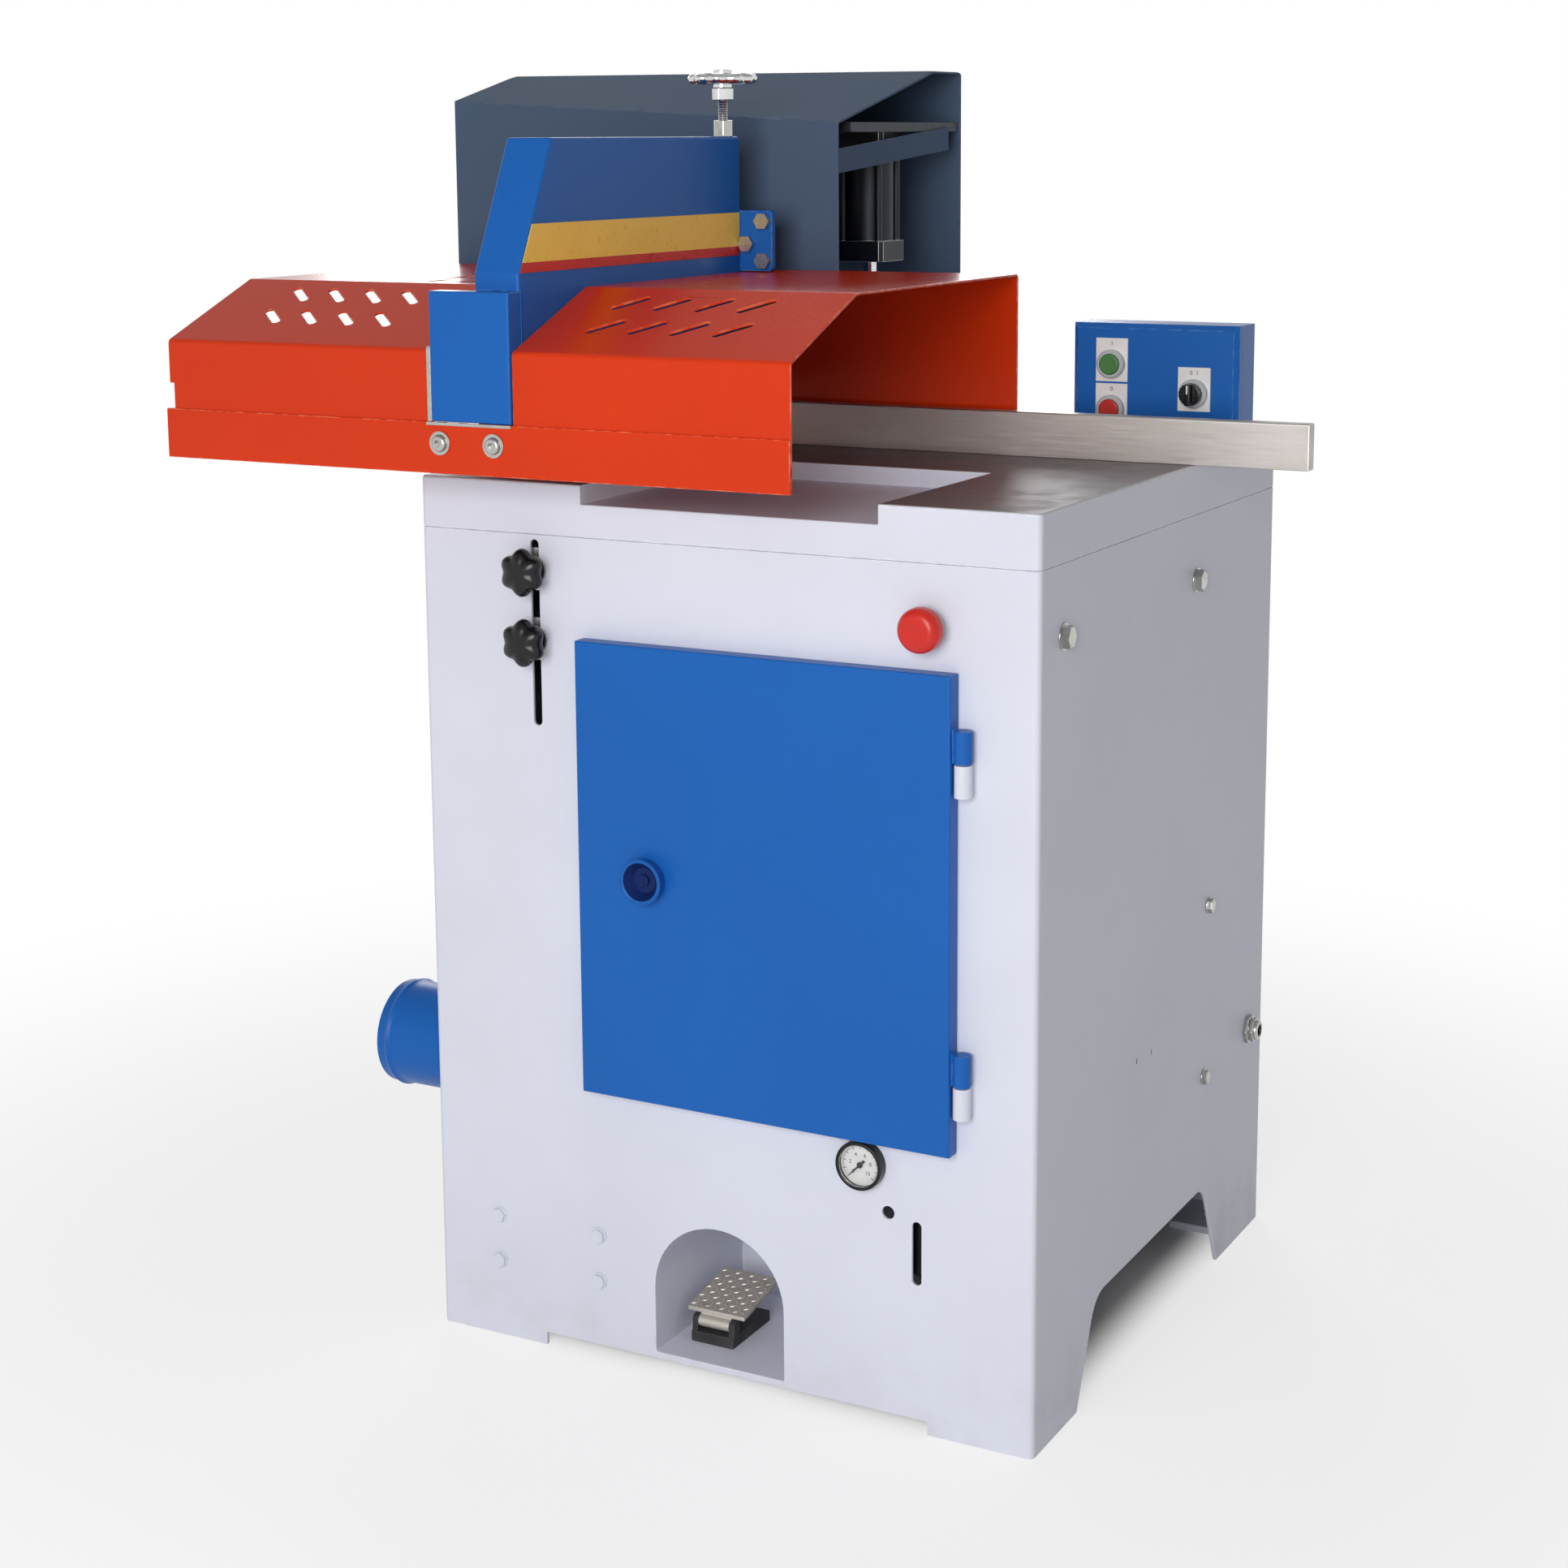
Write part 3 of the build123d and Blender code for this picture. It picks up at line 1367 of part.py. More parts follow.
def make_swing_arm():
    spindle = (spindle_y, spindle_z)
    pivot = (pivot_y, pivot_z)
    web_x = (lift_x - web_thickness / 2, lift_x + web_thickness / 2)
    arm = bar_between("X", pivot, spindle, hub_radius, housing_radius, web_x)
    arm += rod("X", hub_radius, (hub_left, hub_right), pivot)
    arm += rod("X", housing_radius, (housing_left, housing_right), spindle)
    arm += slab("X", lift_pad_outline(), web_x)
    pad_low = motor_z + motor_radius + motor_foot
    pad_x = (hub_right - web_thickness, motor_left + motor_length - motor_pad_inset)
    pad_y = (motor_y - motor_pad_half, motor_y + motor_pad_half)
    arm += block(pad_x, pad_y, (pad_low, pad_low + motor_pad_thickness))
    hanger = [
        (pivot_y + hanger_half, pivot_z),
        (pivot_y - hanger_half, pivot_z),
        (pad_y[0], pad_low + motor_pad_thickness / 2),
        (pad_y[1], pad_low + motor_pad_thickness / 2),
    ]
    arm += slab("X", hanger, (hub_right - web_thickness, hub_right))
    arm -= rod("X", pivot_radius + running_fit, (hub_left - over, hub_right + over), pivot)
    arm -= rod("X", spindle_radius + spindle_clear, (housing_left - over, housing_right + over), spindle)
    for seat in bearing_spans():
        arm -= rod("X", bearing_radius + seat_gap, seat, spindle)
    return arm


def bearing_spans():
    left = housing_left + bearing_inset
    right = housing_right - bearing_inset
    return [(left, left + bearing_width), (right - bearing_width, right)]


def make_bearings():
    spindle = (spindle_y, spindle_z)
    bore = spindle_radius + running_fit
    return [ring("X", bearing_radius, bore, seat, spindle) for seat in bearing_spans()]


def make_motor():
    centre = (motor_y, motor_z)
    right = motor_left + motor_length
    motor = rod("X", motor_radius, (motor_left, right - fan_cover), centre)
    motor += rod("X", fan_cover_radius, (right - fan_cover, right), centre)
    foot_x = (hub_right - web_thickness, right - motor_pad_inset)
    foot_y = (motor_y - motor_pad_half, motor_y + motor_pad_half)
    motor += block(foot_x, foot_y, (motor_z, motor_z + motor_radius + motor_foot))
    bore = (motor_left - over, motor_left + motor_shaft_depth)
    return motor - rod("X", spindle_radius + running_fit, bore, centre)


def make_pulley(radius, centre, shaft):
    span = (pulley_left, pulley_right)
    pulley = rod("X", radius, span, centre)
    pulley += rod("X", radius + pulley_lip, (span[0], span[0] + belt_inset - belt_gap), centre)
    pulley += rod("X", radius + pulley_lip, (span[1] - belt_inset + belt_gap, span[1]), centre)
    return pulley - rod("X", shaft, (span[0] - over, span[1] + over), centre)


def make_motor_pulley():
    centre = (motor_y, motor_z)
    pulley = make_pulley(motor_pulley_radius, centre, spindle_radius)
    return pulley + rod("X", spindle_radius, (pulley_left, motor_left + motor_shaft_depth - over), centre)


def make_belt():
    x = (pulley_left + belt_inset, pulley_right - belt_inset)
    spindle = (spindle_y, spindle_z)
    motor = (motor_y, motor_z)
    inner_spindle = spindle_pulley_radius + belt_gap
    inner_motor = motor_pulley_radius + belt_gap
    loop = bar_between("X", motor, spindle, inner_motor + belt_thickness, inner_spindle + belt_thickness, x)
    return loop - bar_between("X", motor, spindle, inner_motor, inner_spindle, (x[0] - over, x[1] + over))


def make_spindle():
    return rod("X", spindle_radius, (pulley_left, nut_end()), (spindle_y, spindle_z))


def nut_end():
    return blade_plane + blade_thickness / 2 + outer_flange + nut_height + spindle_end


def make_blade():
    step = 360 / blade_teeth
    root = blade_radius - tooth_depth
    outline = []
    for index in range(blade_teeth):
        for radius, share in ((blade_radius, 0.0), (root, tooth_face), (root, tooth_gullet)):
            turn = math.radians((index + share) * step)
            outline.append((spindle_y + radius * math.cos(turn), spindle_z + radius * math.sin(turn)))
    span = (blade_plane - blade_thickness / 2, blade_plane + blade_thickness / 2)
    bore = (span[0] - over, span[1] + over)
    return slab("X", outline, span) - rod("X", spindle_radius + seat_gap, bore, (spindle_y, spindle_z))


def make_flanges():
    spindle = (spindle_y, spindle_z)
    left = blade_plane - blade_thickness / 2
    right = blade_plane + blade_thickness / 2
    inner = ring("X", flange_radius, spindle_radius + seat_gap, (left - inner_flange, left), spindle)
    outer = ring("X", flange_radius, spindle_radius + seat_gap, (right, right + outer_flange), spindle)
    nut = hexagon("X", nut_flats, (right + outer_flange, right + outer_flange + nut_height), spindle)
    nut -= rod("X", spindle_radius + seat_gap, (right, nut_end()), spindle)
    return [inner, outer, nut]


def make_lift_barrel():
    centre = (lift_x, lift_y)
    barrel = rod("Z", lift_barrel_radius, (lift_shelf_top, lift_barrel_top), centre)
    inside = (lift_shelf_top + lift_cap_length, lift_barrel_top - lift_cap_length)
    barrel -= rod("Z", lift_bore_radius, inside, centre)
    bore = (inside[1] - over, lift_barrel_top + over)
    return barrel - rod("Z", lift_rod_radius + running_fit, bore, centre)


def make_lift_rod():
    centre = (lift_x, lift_y)
    piston_low = lift_shelf_top + lift_cap_length + lift_piston_gap
    shaft = rod("Z", lift_rod_radius, (piston_low, lift_nose_z), centre)
    shaft += rod("Z", lift_bore_radius - running_fit, (piston_low, piston_low + lift_piston_length), centre)
    return shaft + Pos(lift_x, lift_y, lift_nose_z) * Sphere(lift_rod_radius)


def make_lift_bracket():
    x = (lift_bolt_x[0] - lift_plate_margin, lift_bolt_x[1] + lift_plate_margin)
    z = (lift_bolt_z[0] - lift_plate_margin, lift_shelf_top)
    bracket = block(x, (wall, wall + lift_plate_thickness), z)
    reach = lift_barrel_radius + lift_shelf_margin
    shelf_x = (lift_x - reach, lift_x + reach)
    shelf_low = lift_shelf_top - lift_shelf_thickness
    bracket += block(shelf_x, (wall, lift_y + reach), (shelf_low, lift_shelf_top))
    for near in (shelf_x[0], shelf_x[1] - lift_gusset):
        tip = lift_y + reach
        points = [(wall, z[0]), (tip, shelf_low), (tip, lift_shelf_top), (wall, lift_shelf_top)]
        bracket += slab("X", points, (near, near + lift_gusset))
    hole = (0, wall + lift_plate_thickness + over)
    for bolt_x in lift_bolt_x:
        for bolt_z in lift_bolt_z:
            bracket -= rod("Y", small_shank + hole_gap, hole, (bolt_x, bolt_z))
    return bracket


def make_spindle_pulley():
    return make_pulley(spindle_pulley_radius, (spindle_y, spindle_z), spindle_radius + seat_gap)


half_gap = fence_gap / 2
pieces = {
    "cabinet_shell": make_cabinet(),
    "table_top": make_table(),
    "table_insert": make_insert(),
    "fence_left": make_fence((-fence_overhang, blade_plane - half_gap)),
    "fence_right": make_fence((blade_plane + half_gap, cabinet_width + fence_overhang)),
    "fence_brackets": make_fence_brackets(),
    "fence_screws": make_fence_screws(),
    "column_base": make_column_base(),
    "guide_rods": make_guide_rods(),
    "top_plate": make_top_plate(),
    "clamp_cylinder": make_clamp_cylinder(),
    "rear_cover": make_rear_cover(),
    "control_box": make_control_box(),
    "control_lid": make_control_lid(),
    "legend_plates": make_legend_plates(),
    "button_bezels": make_button_bezels(),
    "gauge_case": make_gauge_case(),
    "gauge_lens": make_gauge_lens(),
    "dust_port": make_dust_port(),
    "pedal_base": make_pedal_base(),
    "hinge_knuckles": make_hinge_knuckles(),
    "cabinet_bolts": make_cabinet_bolts(),
    "pivot_brackets": make_pivot_brackets(),
    "pivot_shaft": make_pivot_shaft(),
    "lift_bracket": make_lift_bracket(),
    "air_regulator": make_regulator(),
    "cable_gland": make_gland(),
    "swing_arm": make_swing_arm(),
    "spindle_bearings": make_bearings(),
    "motor_body": make_motor(),
    "drive_belt": make_belt(),
    "spindle_shaft": make_spindle(),
    "saw_blade": make_blade(),
    "blade_flanges": make_flanges(),
    "spindle_pulley": make_spindle_pulley(),
    "motor_pulley": make_motor_pulley(),
    "lift_barrel": make_lift_barrel(),
    "lift_rod": make_lift_rod(),
    "hood_left": make_hood_left(),
    "hood_right": make_hood_right(),
    "hood_strip": make_hood_strip(),
    "clamp_screws": make_clamp_screws(),
    "guard_arm": make_guard_arm(),
    "carriage": make_carriage(),
    "clamp_rod": make_clamp_rod(),
    "handwheel": make_handwheel(),
    "stop_screw": make_stop_screw(),
    "stop_block": make_stop_block(),
    "door_panel": make_door(),
    "latch_knob": make_latch(),
    "pedal_tread": make_pedal_tread(),
    "upper_stop_stud": make_stop_stud(knob_z[0]),
    "lower_stop_stud": make_stop_stud(knob_z[1]),
    "upper_star_knob": make_star_knob(knob_z[0]),
    "lower_star_knob": make_star_knob(knob_z[1]),
    "stop_button": make_stop_button(),
    "green_button": make_push_button(green_centre),
    "red_button": make_push_button(red_centre),
    "selector_knob": make_selector(),
    "gauge_needle": make_needle(),
}


def solids_of(piece):
    group = piece if isinstance(piece, list) else [piece]
    return [solid for member in group for solid in member.solids()]


# The origin is the middle of the whole object's box, at floor level.
box = Compound([solid for piece in pieces.values() for solid in solids_of(piece)]).bounding_box()
middle_x = (box.min.X + box.max.X) / 2
middle_y = (box.min.Y + box.max.Y) / 2
to_origin = Pos(-middle_x, -middle_y, 0)

os.makedirs("parts", exist_ok=True)
for name, piece in pieces.items():
    placed = [to_origin * solid for solid in solids_of(piece)]
    export_step(placed[0] if len(placed) == 1 else Compound(placed), f"parts/{name}.step")
print("box", [round(value, 2) for value in (*box.min, *box.max)])
print("swing", round(swing_deg, 3), "middle", round(middle_x, 3), round(middle_y, 3))
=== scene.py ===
import json
import bmesh
import bpy
from math import atan2, cos, radians, sin, sqrt
from mathutils import Matrix, Vector

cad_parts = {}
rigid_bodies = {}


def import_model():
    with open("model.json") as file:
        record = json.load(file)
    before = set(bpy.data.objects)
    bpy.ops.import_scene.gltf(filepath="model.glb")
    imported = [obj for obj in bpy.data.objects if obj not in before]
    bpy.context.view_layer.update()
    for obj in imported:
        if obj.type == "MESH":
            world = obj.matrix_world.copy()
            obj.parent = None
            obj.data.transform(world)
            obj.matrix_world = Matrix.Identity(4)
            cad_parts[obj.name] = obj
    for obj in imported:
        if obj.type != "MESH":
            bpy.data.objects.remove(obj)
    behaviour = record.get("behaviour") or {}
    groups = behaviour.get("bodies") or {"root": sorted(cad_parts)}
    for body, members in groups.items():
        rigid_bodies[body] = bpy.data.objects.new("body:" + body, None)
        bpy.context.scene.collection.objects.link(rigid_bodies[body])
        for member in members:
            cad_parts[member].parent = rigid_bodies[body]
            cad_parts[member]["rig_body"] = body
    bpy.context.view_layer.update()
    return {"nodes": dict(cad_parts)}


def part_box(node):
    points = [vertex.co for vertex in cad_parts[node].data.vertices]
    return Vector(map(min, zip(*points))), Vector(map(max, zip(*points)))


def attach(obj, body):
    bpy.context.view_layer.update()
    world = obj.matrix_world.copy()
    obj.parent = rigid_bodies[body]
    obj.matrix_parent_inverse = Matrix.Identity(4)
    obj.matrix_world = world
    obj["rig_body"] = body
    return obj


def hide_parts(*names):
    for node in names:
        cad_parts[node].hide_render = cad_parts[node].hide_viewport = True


# an empty file first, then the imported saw
bpy.ops.object.select_all(action="SELECT")
bpy.ops.object.delete()
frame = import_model()
nodes = frame["nodes"]
print("frame loaded with", len(nodes), "nodes")

mm = 0.001
weld = 0.01 * mm  # points closer than this are one
hair = 0.1 * mm   # slack when parts are picked by their place
facing = 0.9      # cosine from which a face looks one way
nearRim = 0.95    # share of a radius from which a point is on the rim
sharpFrom, flatWithin = radians(30), radians(0.4)
hexSides = 6
pinSides, studSides, ringSides, drumSides = 24, 32, 48, 64  # stand for a circle, by its size
ahead, behind = Vector((0, -1, 0)), Vector((0, 1, 0))
leftward, rightward = Vector((-1, 0, 0)), Vector((1, 0, 0))
upward = Vector((0, 0, 1))


# hand tools

def clearPick():
    if bpy.context.object and bpy.context.object.mode != "OBJECT":
        bpy.ops.object.mode_set(mode="OBJECT")
    bpy.ops.object.select_all(action="DESELECT")


def take(piece):
    clearPick()
    piece.select_set(True)
    bpy.context.view_layer.objects.active = piece


def settle(name):
    # the new object gets its name, and its place goes into the mesh
    piece = bpy.context.object
    piece.name = name
    piece.data.name = name
    bpy.ops.object.transform_apply(location=True, rotation=True, scale=True)
    return piece


def modify(piece, kind, **settings):
    take(piece)
    change = piece.modifiers.new(kind.lower(), kind)
    for key, value in settings.items():
        setattr(change, key, value)
    bpy.ops.object.modifier_apply(modifier=change.name)


def softEdges(piece, width, steps=2):
    # a width of nothing leaves the piece as it is
    if width:
        modify(
            piece, "BEVEL", width=width, segments=steps, limit_method="ANGLE", angle_limit=sharpFrom,
            use_clamp_overlap=False, material=1,
        )
    return piece


def startBlock(name, low, high, edge=0.0, steps=2):
    low, high = Vector(low), Vector(high)
    clearPick()
    bpy.ops.mesh.primitive_cube_add(size=1, location=(low + high) / 2, scale=high - low)
    return softEdges(settle(name), edge, steps)


def startDisc(name, foot, rise, radius, sides, edge=0.0, steps=2):
    # stands on foot, along rise and as long
    turns = {"x": (0, radians(90), 0), "y": (radians(90), 0, 0), "z": (0, 0, 0)}
    along = max(turns, key=lambda axis: abs(getattr(rise, axis)))
    clearPick()
    bpy.ops.mesh.primitive_cylinder_add(
        vertices=sides, radius=radius, depth=rise.length, location=foot + rise / 2, rotation=turns[along]
    )
    return softEdges(settle(name), edge, steps)


def discsOn(centre, along):
    # discs on one axis, each from one place along it to another
    side = "xyz".index(along)

    def disc(name, low, high, radius, sides, edge=0.0, steps=2):
        foot, rise = centre.copy(), Vector()
        foot[side], rise[side] = low, high - low
        return startDisc(name, foot, rise, radius, sides, edge, steps)

    return disc


def edit(piece):
    take(piece)
    bpy.ops.object.mode_set(mode="EDIT")
    bpy.ops.mesh.select_mode(type="FACE")
    bpy.ops.mesh.select_all(action="DESELECT")


def leave():
    bpy.ops.object.mode_set(mode="OBJECT")


def pick(kind, test):
    bpy.ops.mesh.select_mode(type=kind)
    bpy.ops.mesh.select_all(action="DESELECT")
    mesh = bmesh.from_edit_mesh(bpy.context.object.data)
    for part in {"FACE": mesh.faces, "EDGE": mesh.edges, "VERT": mesh.verts}[kind]:
        if test(part):
            part.select_set(True)
    if kind == "VERT":
        mesh.select_flush(True)
    bmesh.update_edit_mesh(bpy.context.object.data)


def pickFaces(test):
    pick("FACE", lambda face: test(face.calc_center_median(), face.normal))


def pickFacing(way):
    pick("FACE", lambda face: face.normal.dot(way) > facing)


def pickPoints(test):
    pick("VERT", lambda point: test(point.co))


def inset(width):
    bpy.ops.mesh.inset(thickness=width, depth=0)


def pull(shift):
    bpy.ops.mesh.extrude_region_move(TRANSFORM_OT_translate={"value": shift})


def slide(shift):
    bpy.ops.transform.translate(value=shift)


def grow(share, centre):
    bpy.ops.transform.resize(value=share, center_override=centre)


def widen(share, along, centre):
    # everything but the length along one axis
    grow([1 if axis == along else share for axis in "xyz"], centre)


def sink(piece, way, width, depth):
    # the end that faces way is inset and pushed in
    edit(piece)
    pickFacing(way)
    inset(width)
    pull(way * -depth)
    leave()


def taper(piece, way, share, centre):
    # the end that faces way is drawn in
    edit(piece)
    pickFacing(way)
    grow(share, centre)
    leave()


def roundOff(piece, test, width, steps=3):
    # the edges whose two ends pass the test
    edit(piece)
    pick("EDGE", lambda edge: test(*[end.co for end in edge.verts]))
    bpy.ops.mesh.bevel(offset=width, segments=steps, affect="EDGES")
    leave()


def cutOut(cutter, *pieces):
    for piece in pieces:
        modify(piece, "BOOLEAN", object=cutter, operation="DIFFERENCE")
    bpy.data.objects.remove(cutter)


def copied(piece, name, move):
    take(piece)
    bpy.ops.object.duplicate(linked=False)
    bpy.context.object.matrix_world = move
    return settle(name)


def repeated(piece, moves):
    # the piece, then a copy of it for each move
    copies = [copied(piece, "%s%d" % (piece.name, count), move) for count, move in enumerate(moves, 1)]
    return [piece] + copies


def turned(angle, axis, centre):
    # degrees about an axis through centre
    spin = Matrix.Rotation(radians(angle), 4, axis)
    return Matrix.Translation(centre) @ spin @ Matrix.Translation(-centre)


def joined(name, parts):
    take(parts[0])
    for part in parts:
        part.select_set(True)
    bpy.ops.object.join()
    return settle(name)


def boxOf(node):
    low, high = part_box(node)
    return low, high, (low + high) / 2


def bodyOf(node):
    return nodes[node]["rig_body"]


def mergedCopy(node, name):
    # a copy of a CAD piece in one skin, left in edit mode with all of it picked
    piece = bpy.data.objects.new(name, nodes[node].data.copy())
    bpy.context.scene.collection.objects.link(piece)
    take(piece)
    bpy.ops.mesh.customdata_custom_splitnormals_clear()
    edit(piece)
    bpy.ops.mesh.select_all(action="SELECT")
    bpy.ops.mesh.remove_doubles(threshold=weld)
    return piece


def edgedCopy(node, width, steps=2):
    # a merged copy with its sharp edges broken, as a fettled edge is
    piece = mergedCopy(node, node + "_made")
    bpy.ops.mesh.dissolve_limited(angle_limit=flatWithin)
    leave()
    piece.data.materials.clear()
    for place in range(2):
        piece.data.materials.append(None)
    softEdges(piece, width, steps)
    # the faces that the bevel made carry a value that the finishes read
    rim = piece.data.attributes.new("rim", "FLOAT", "FACE")
    for face, mark in zip(piece.data.polygons, rim.data):
        mark.value = float(face.material_index == 1)
        face.material_index = 0
    return piece


def looseBoxes(node):
    # the lowest and highest corner of each separate solid in a CAD node
    mergedCopy(node, "loose")
    bpy.ops.mesh.separate(type="LOOSE")
    leave()
    boxes = []
    for part in list(bpy.context.selected_objects):
        sides = list(zip(*[point.co for point in part.data.vertices]))
        boxes.append((Vector([min(side) for side in sides]), Vector([max(side) for side in sides])))
        bpy.data.objects.remove(part)
    return sorted(boxes, key=lambda box: tuple(box[0]))


def finishPiece(piece, body, slot, replaces=None, angle=35, finish=None):
    take(piece)
    bpy.ops.object.shade_smooth_by_angle(angle=radians(angle))
    modify(piece, "WEIGHTED_NORMAL", weight=100, keep_sharp=True)  # wide faces stay flat
    piece.data.materials.clear()
    piece.data.materials.append(finish or finishes[slot])
    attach(piece, body)
    if replaces:
        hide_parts(replaces)


def addFinish(piece, finish, test):
    # a second finish on the faces that the test picks
    piece.data.materials.append(finish)
    for face in piece.data.polygons:
        face.material_index = int(test(face.center, face.normal))


# finishes

class Field:
    # a value that changes over a surface

    def __init__(self, maker, socket):
        self.maker = maker
        self.socket = socket

    def math(self, operation, first, second):
        made = self.maker.node("ShaderNodeMath", {"operation": operation}, {0: first, 1: second})
        return Field(self.maker, made.outputs[0])

    def __add__(self, other):
        return self.math("ADD", self, other)

    def __radd__(self, other):
        return self.math("ADD", other, self)

    def __sub__(self, other):
        return self.math("SUBTRACT", self, other)

    def __rsub__(self, other):
        return self.math("SUBTRACT", other, self)

    def __mul__(self, other):
        return self.math("MULTIPLY", self, other)

    def swing(self, reach):
        # a noise, moved to stand about nothing
        return (self - 0.5) * reach

    def most(self, other):
        return self.math("MAXIMUM", self, other)

    def between(self, low, high):
        # 0 up to low, 1 from high on
        sockets = {"Value": self, "From Min": low, "From Max": high}
        made = self.maker.node("ShaderNodeMapRange", {"interpolation_type": "SMOOTHSTEP"}, sockets)
        return Field(self.maker, made.outputs[0])


class Maker:
    # makes and links the nodes of one tree

    def __init__(self, tree):
        self.tree = tree

    def node(self, kind, settings=None, sockets=None):
        made = self.tree.nodes.new(kind)
        for key, value in (settings or {}).items():
            setattr(made, key, value)
        for key, value in (sockets or {}).items():
            self.feed(made.inputs[key], value)
        return made

    def feed(self, socket, value):
        if isinstance(value, Field):
            value = value.socket
        if isinstance(value, bpy.types.NodeSocket):
            self.tree.links.new(value, socket)
        elif socket.type == "RGBA" and len(value) == 3:
            socket.default_value = (*value, 1)
        else:
            socket.default_value = value

    def vector(self, operation, first, second=(0, 0, 0)):
        return self.node("ShaderNodeVectorMath", {"operation": operation}, {0: first, 1: second})

    def side(self, spots, axis):
        return Field(self, self.node("ShaderNodeSeparateXYZ", {}, {0: spots}).outputs[axis])

    def whiteSight(self):
        # 1 for what the camera, a mirror or a lens sees
        path = self.node("ShaderNodeLightPath").outputs
        seen = Field(self, path["Is Camera Ray"])
        return seen.most(path["Is Glossy Ray"]).most(path["Is Transmission Ray"])


class Finish(Maker):

    def __init__(self, name):
        self.material = bpy.data.materials.new(name)
        self.material.use_nodes = True
        super().__init__(self.material.node_tree)
        self.shader = self.tree.nodes["Principled BSDF"]
        self.spots = self.node("ShaderNodeTexCoord").outputs["Object"]

    def laid(self, stretch=(1, 1, 1), centre=(0, 0, 0)):
        moved = self.vector("SUBTRACT", self.spots, centre).outputs[0]
        return self.node("ShaderNodeMapping", {}, {"Vector": moved, "Scale": stretch}).outputs[0]

    def noise(self, size, detail, stretch=(1, 1, 1)):
        sockets = {"Vector": self.laid(stretch), "Scale": 1 / size, "Detail": detail}
        return Field(self, self.node("ShaderNodeTexNoise", {}, sockets).outputs["Fac"])

    def rings(self, centre, size):
        # marks that run round an axis along x
        reach = self.vector("LENGTH", self.laid((0, 1, 1), centre)).outputs["Value"]
        sockets = {"W": reach, "Scale": 1 / size, "Detail": 4.0}
        made = self.node("ShaderNodeTexNoise", {"noise_dimensions": "1D"}, sockets)
        return Field(self, made.outputs["Fac"])

    def rim(self):
        return Field(self, self.node("ShaderNodeAttribute", {"attribute_name": "rim"}).outputs["Fac"])

    def mix(self, share, first, second):
        made = self.node("ShaderNodeMix", {"data_type": "RGBA"}, {0: share, 6: first, 7: second})
        return made.outputs[2]

    def tones(self, share, look):
        # from a darker to a lighter tone of the look's shade
        return self.mix(share, *[shade(*look["shade"], light) for light in look["tones"]])

    def tint(self, base, share, colour):
        return self.mix(share, base, shade(*colour))

    def bump(self, height, depth):
        made = self.node("ShaderNodeBump", {}, {"Height": height, "Distance": depth})
        self.feed(self.shader.inputs["Normal"], made.outputs["Normal"])

    def surface(self, sockets):
        for key, value in sockets.items():
            self.feed(self.shader.inputs[key], value)


def shade(red, green, blue, light=1.0):
    # screen levels to the linear levels that a shader takes
    def straight(level):
        part = level / 255
        return light * (((part + 0.055) / 1.055) ** 2.4 if part > 0.04045 else part / 12.92)
    return straight(red), straight(green), straight(blue)


def paintFinish(name, look):
    made = Finish(name)
    drift = made.noise(look["drift"], 4)  # broad, faint changes of shade
    peel = made.noise(look["peel"], 2)    # orange peel of sprayed paint
    speck = made.noise(look["peel"] / 4, 1)
    # paint is thin along the edges, and dust lies low; on the hood the lighter rim colour is also a painted
    # highlight along its folds
    rubAndHighlight = made.rim() * made.noise(look["rubSize"], 5).between(*look["rubBand"])
    low = 1 - made.side(made.spots, "Z").between(0.0, look["dustHeight"])
    dust = low * made.noise(look["dustSize"], 6).between(*look["dustBand"])
    base = made.tones(drift.between(*look["driftBand"]), look)
    base = made.tint(base, rubAndHighlight * look["wear"], look["worn"])
    base = made.tint(base, dust * look["dust"], look["dustShade"])
    rough = look["rough"] + drift.swing(look["driftRough"]) + speck.swing(look["speckRough"])
    rough = rough + dust * look["dustRough"]
    made.surface({"Base Color": base, "Roughness": rough, "Specular IOR Level": look["gloss"]})
    made.bump(peel + speck * look["speckRise"], look["depth"])
    return made.material


def metalFinish(name, look):
    made = Finish(name)
    marks = made.noise(look["mark"], 5, look["stretch"])  # tool or grinding marks
    fine = made.noise(look["mark"] / 3, 2)
    rim = made.rim()
    stain = made.noise(look["blotch"], 5).between(*look["stainBand"]) * look["stain"]
    base = made.tint(made.tones(marks, look), stain, look["stained"])
    base = made.tint(base, rim * look["edgeShare"], look["edge"])
    rough = look["rough"] + marks.swing(look["scatter"]) + stain * look["stainRough"]
    rough = rough - rim * look["edgeSleek"]
    metal = look["metal"] - stain * look["stainDull"]
    made.surface({"Base Color": base, "Metallic": metal, "Roughness": rough})
    made.bump(marks + fine * look["fineRise"], look["depth"])
    return made.material


def plasticFinish(name, look):
    made = Finish(name)
    grain = made.noise(look["grain"], 2)
    drift = made.noise(look["drift"], 4)
    base = made.tint(made.tones(drift, look), made.rim() * look["wear"], look["worn"])
    rough = look["rough"] + drift.swing(look["driftRough"]) + grain.swing(look["grainRough"])
    made.surface({
        "Base Color": base, "Roughness": rough, "Specular IOR Level": look["gloss"],
        "Coat Weight": look["coat"], "Coat Roughness": look["coatRough"],
    })
    made.bump(grain, look["depth"])
    return made.material


def glassFinish(name, look):
    made = Finish(name)
    smear = made.noise(look["smear"], 4).between(*look["smearBand"])
    made.surface({
        "Base Color": made.mix(smear, look["clear"], look["smeared"]),
        "Roughness": look["rough"] + smear * look["smearRough"], "Transmission Weight": 1.0,
        "IOR": look["bend"],
    })
    return made.material


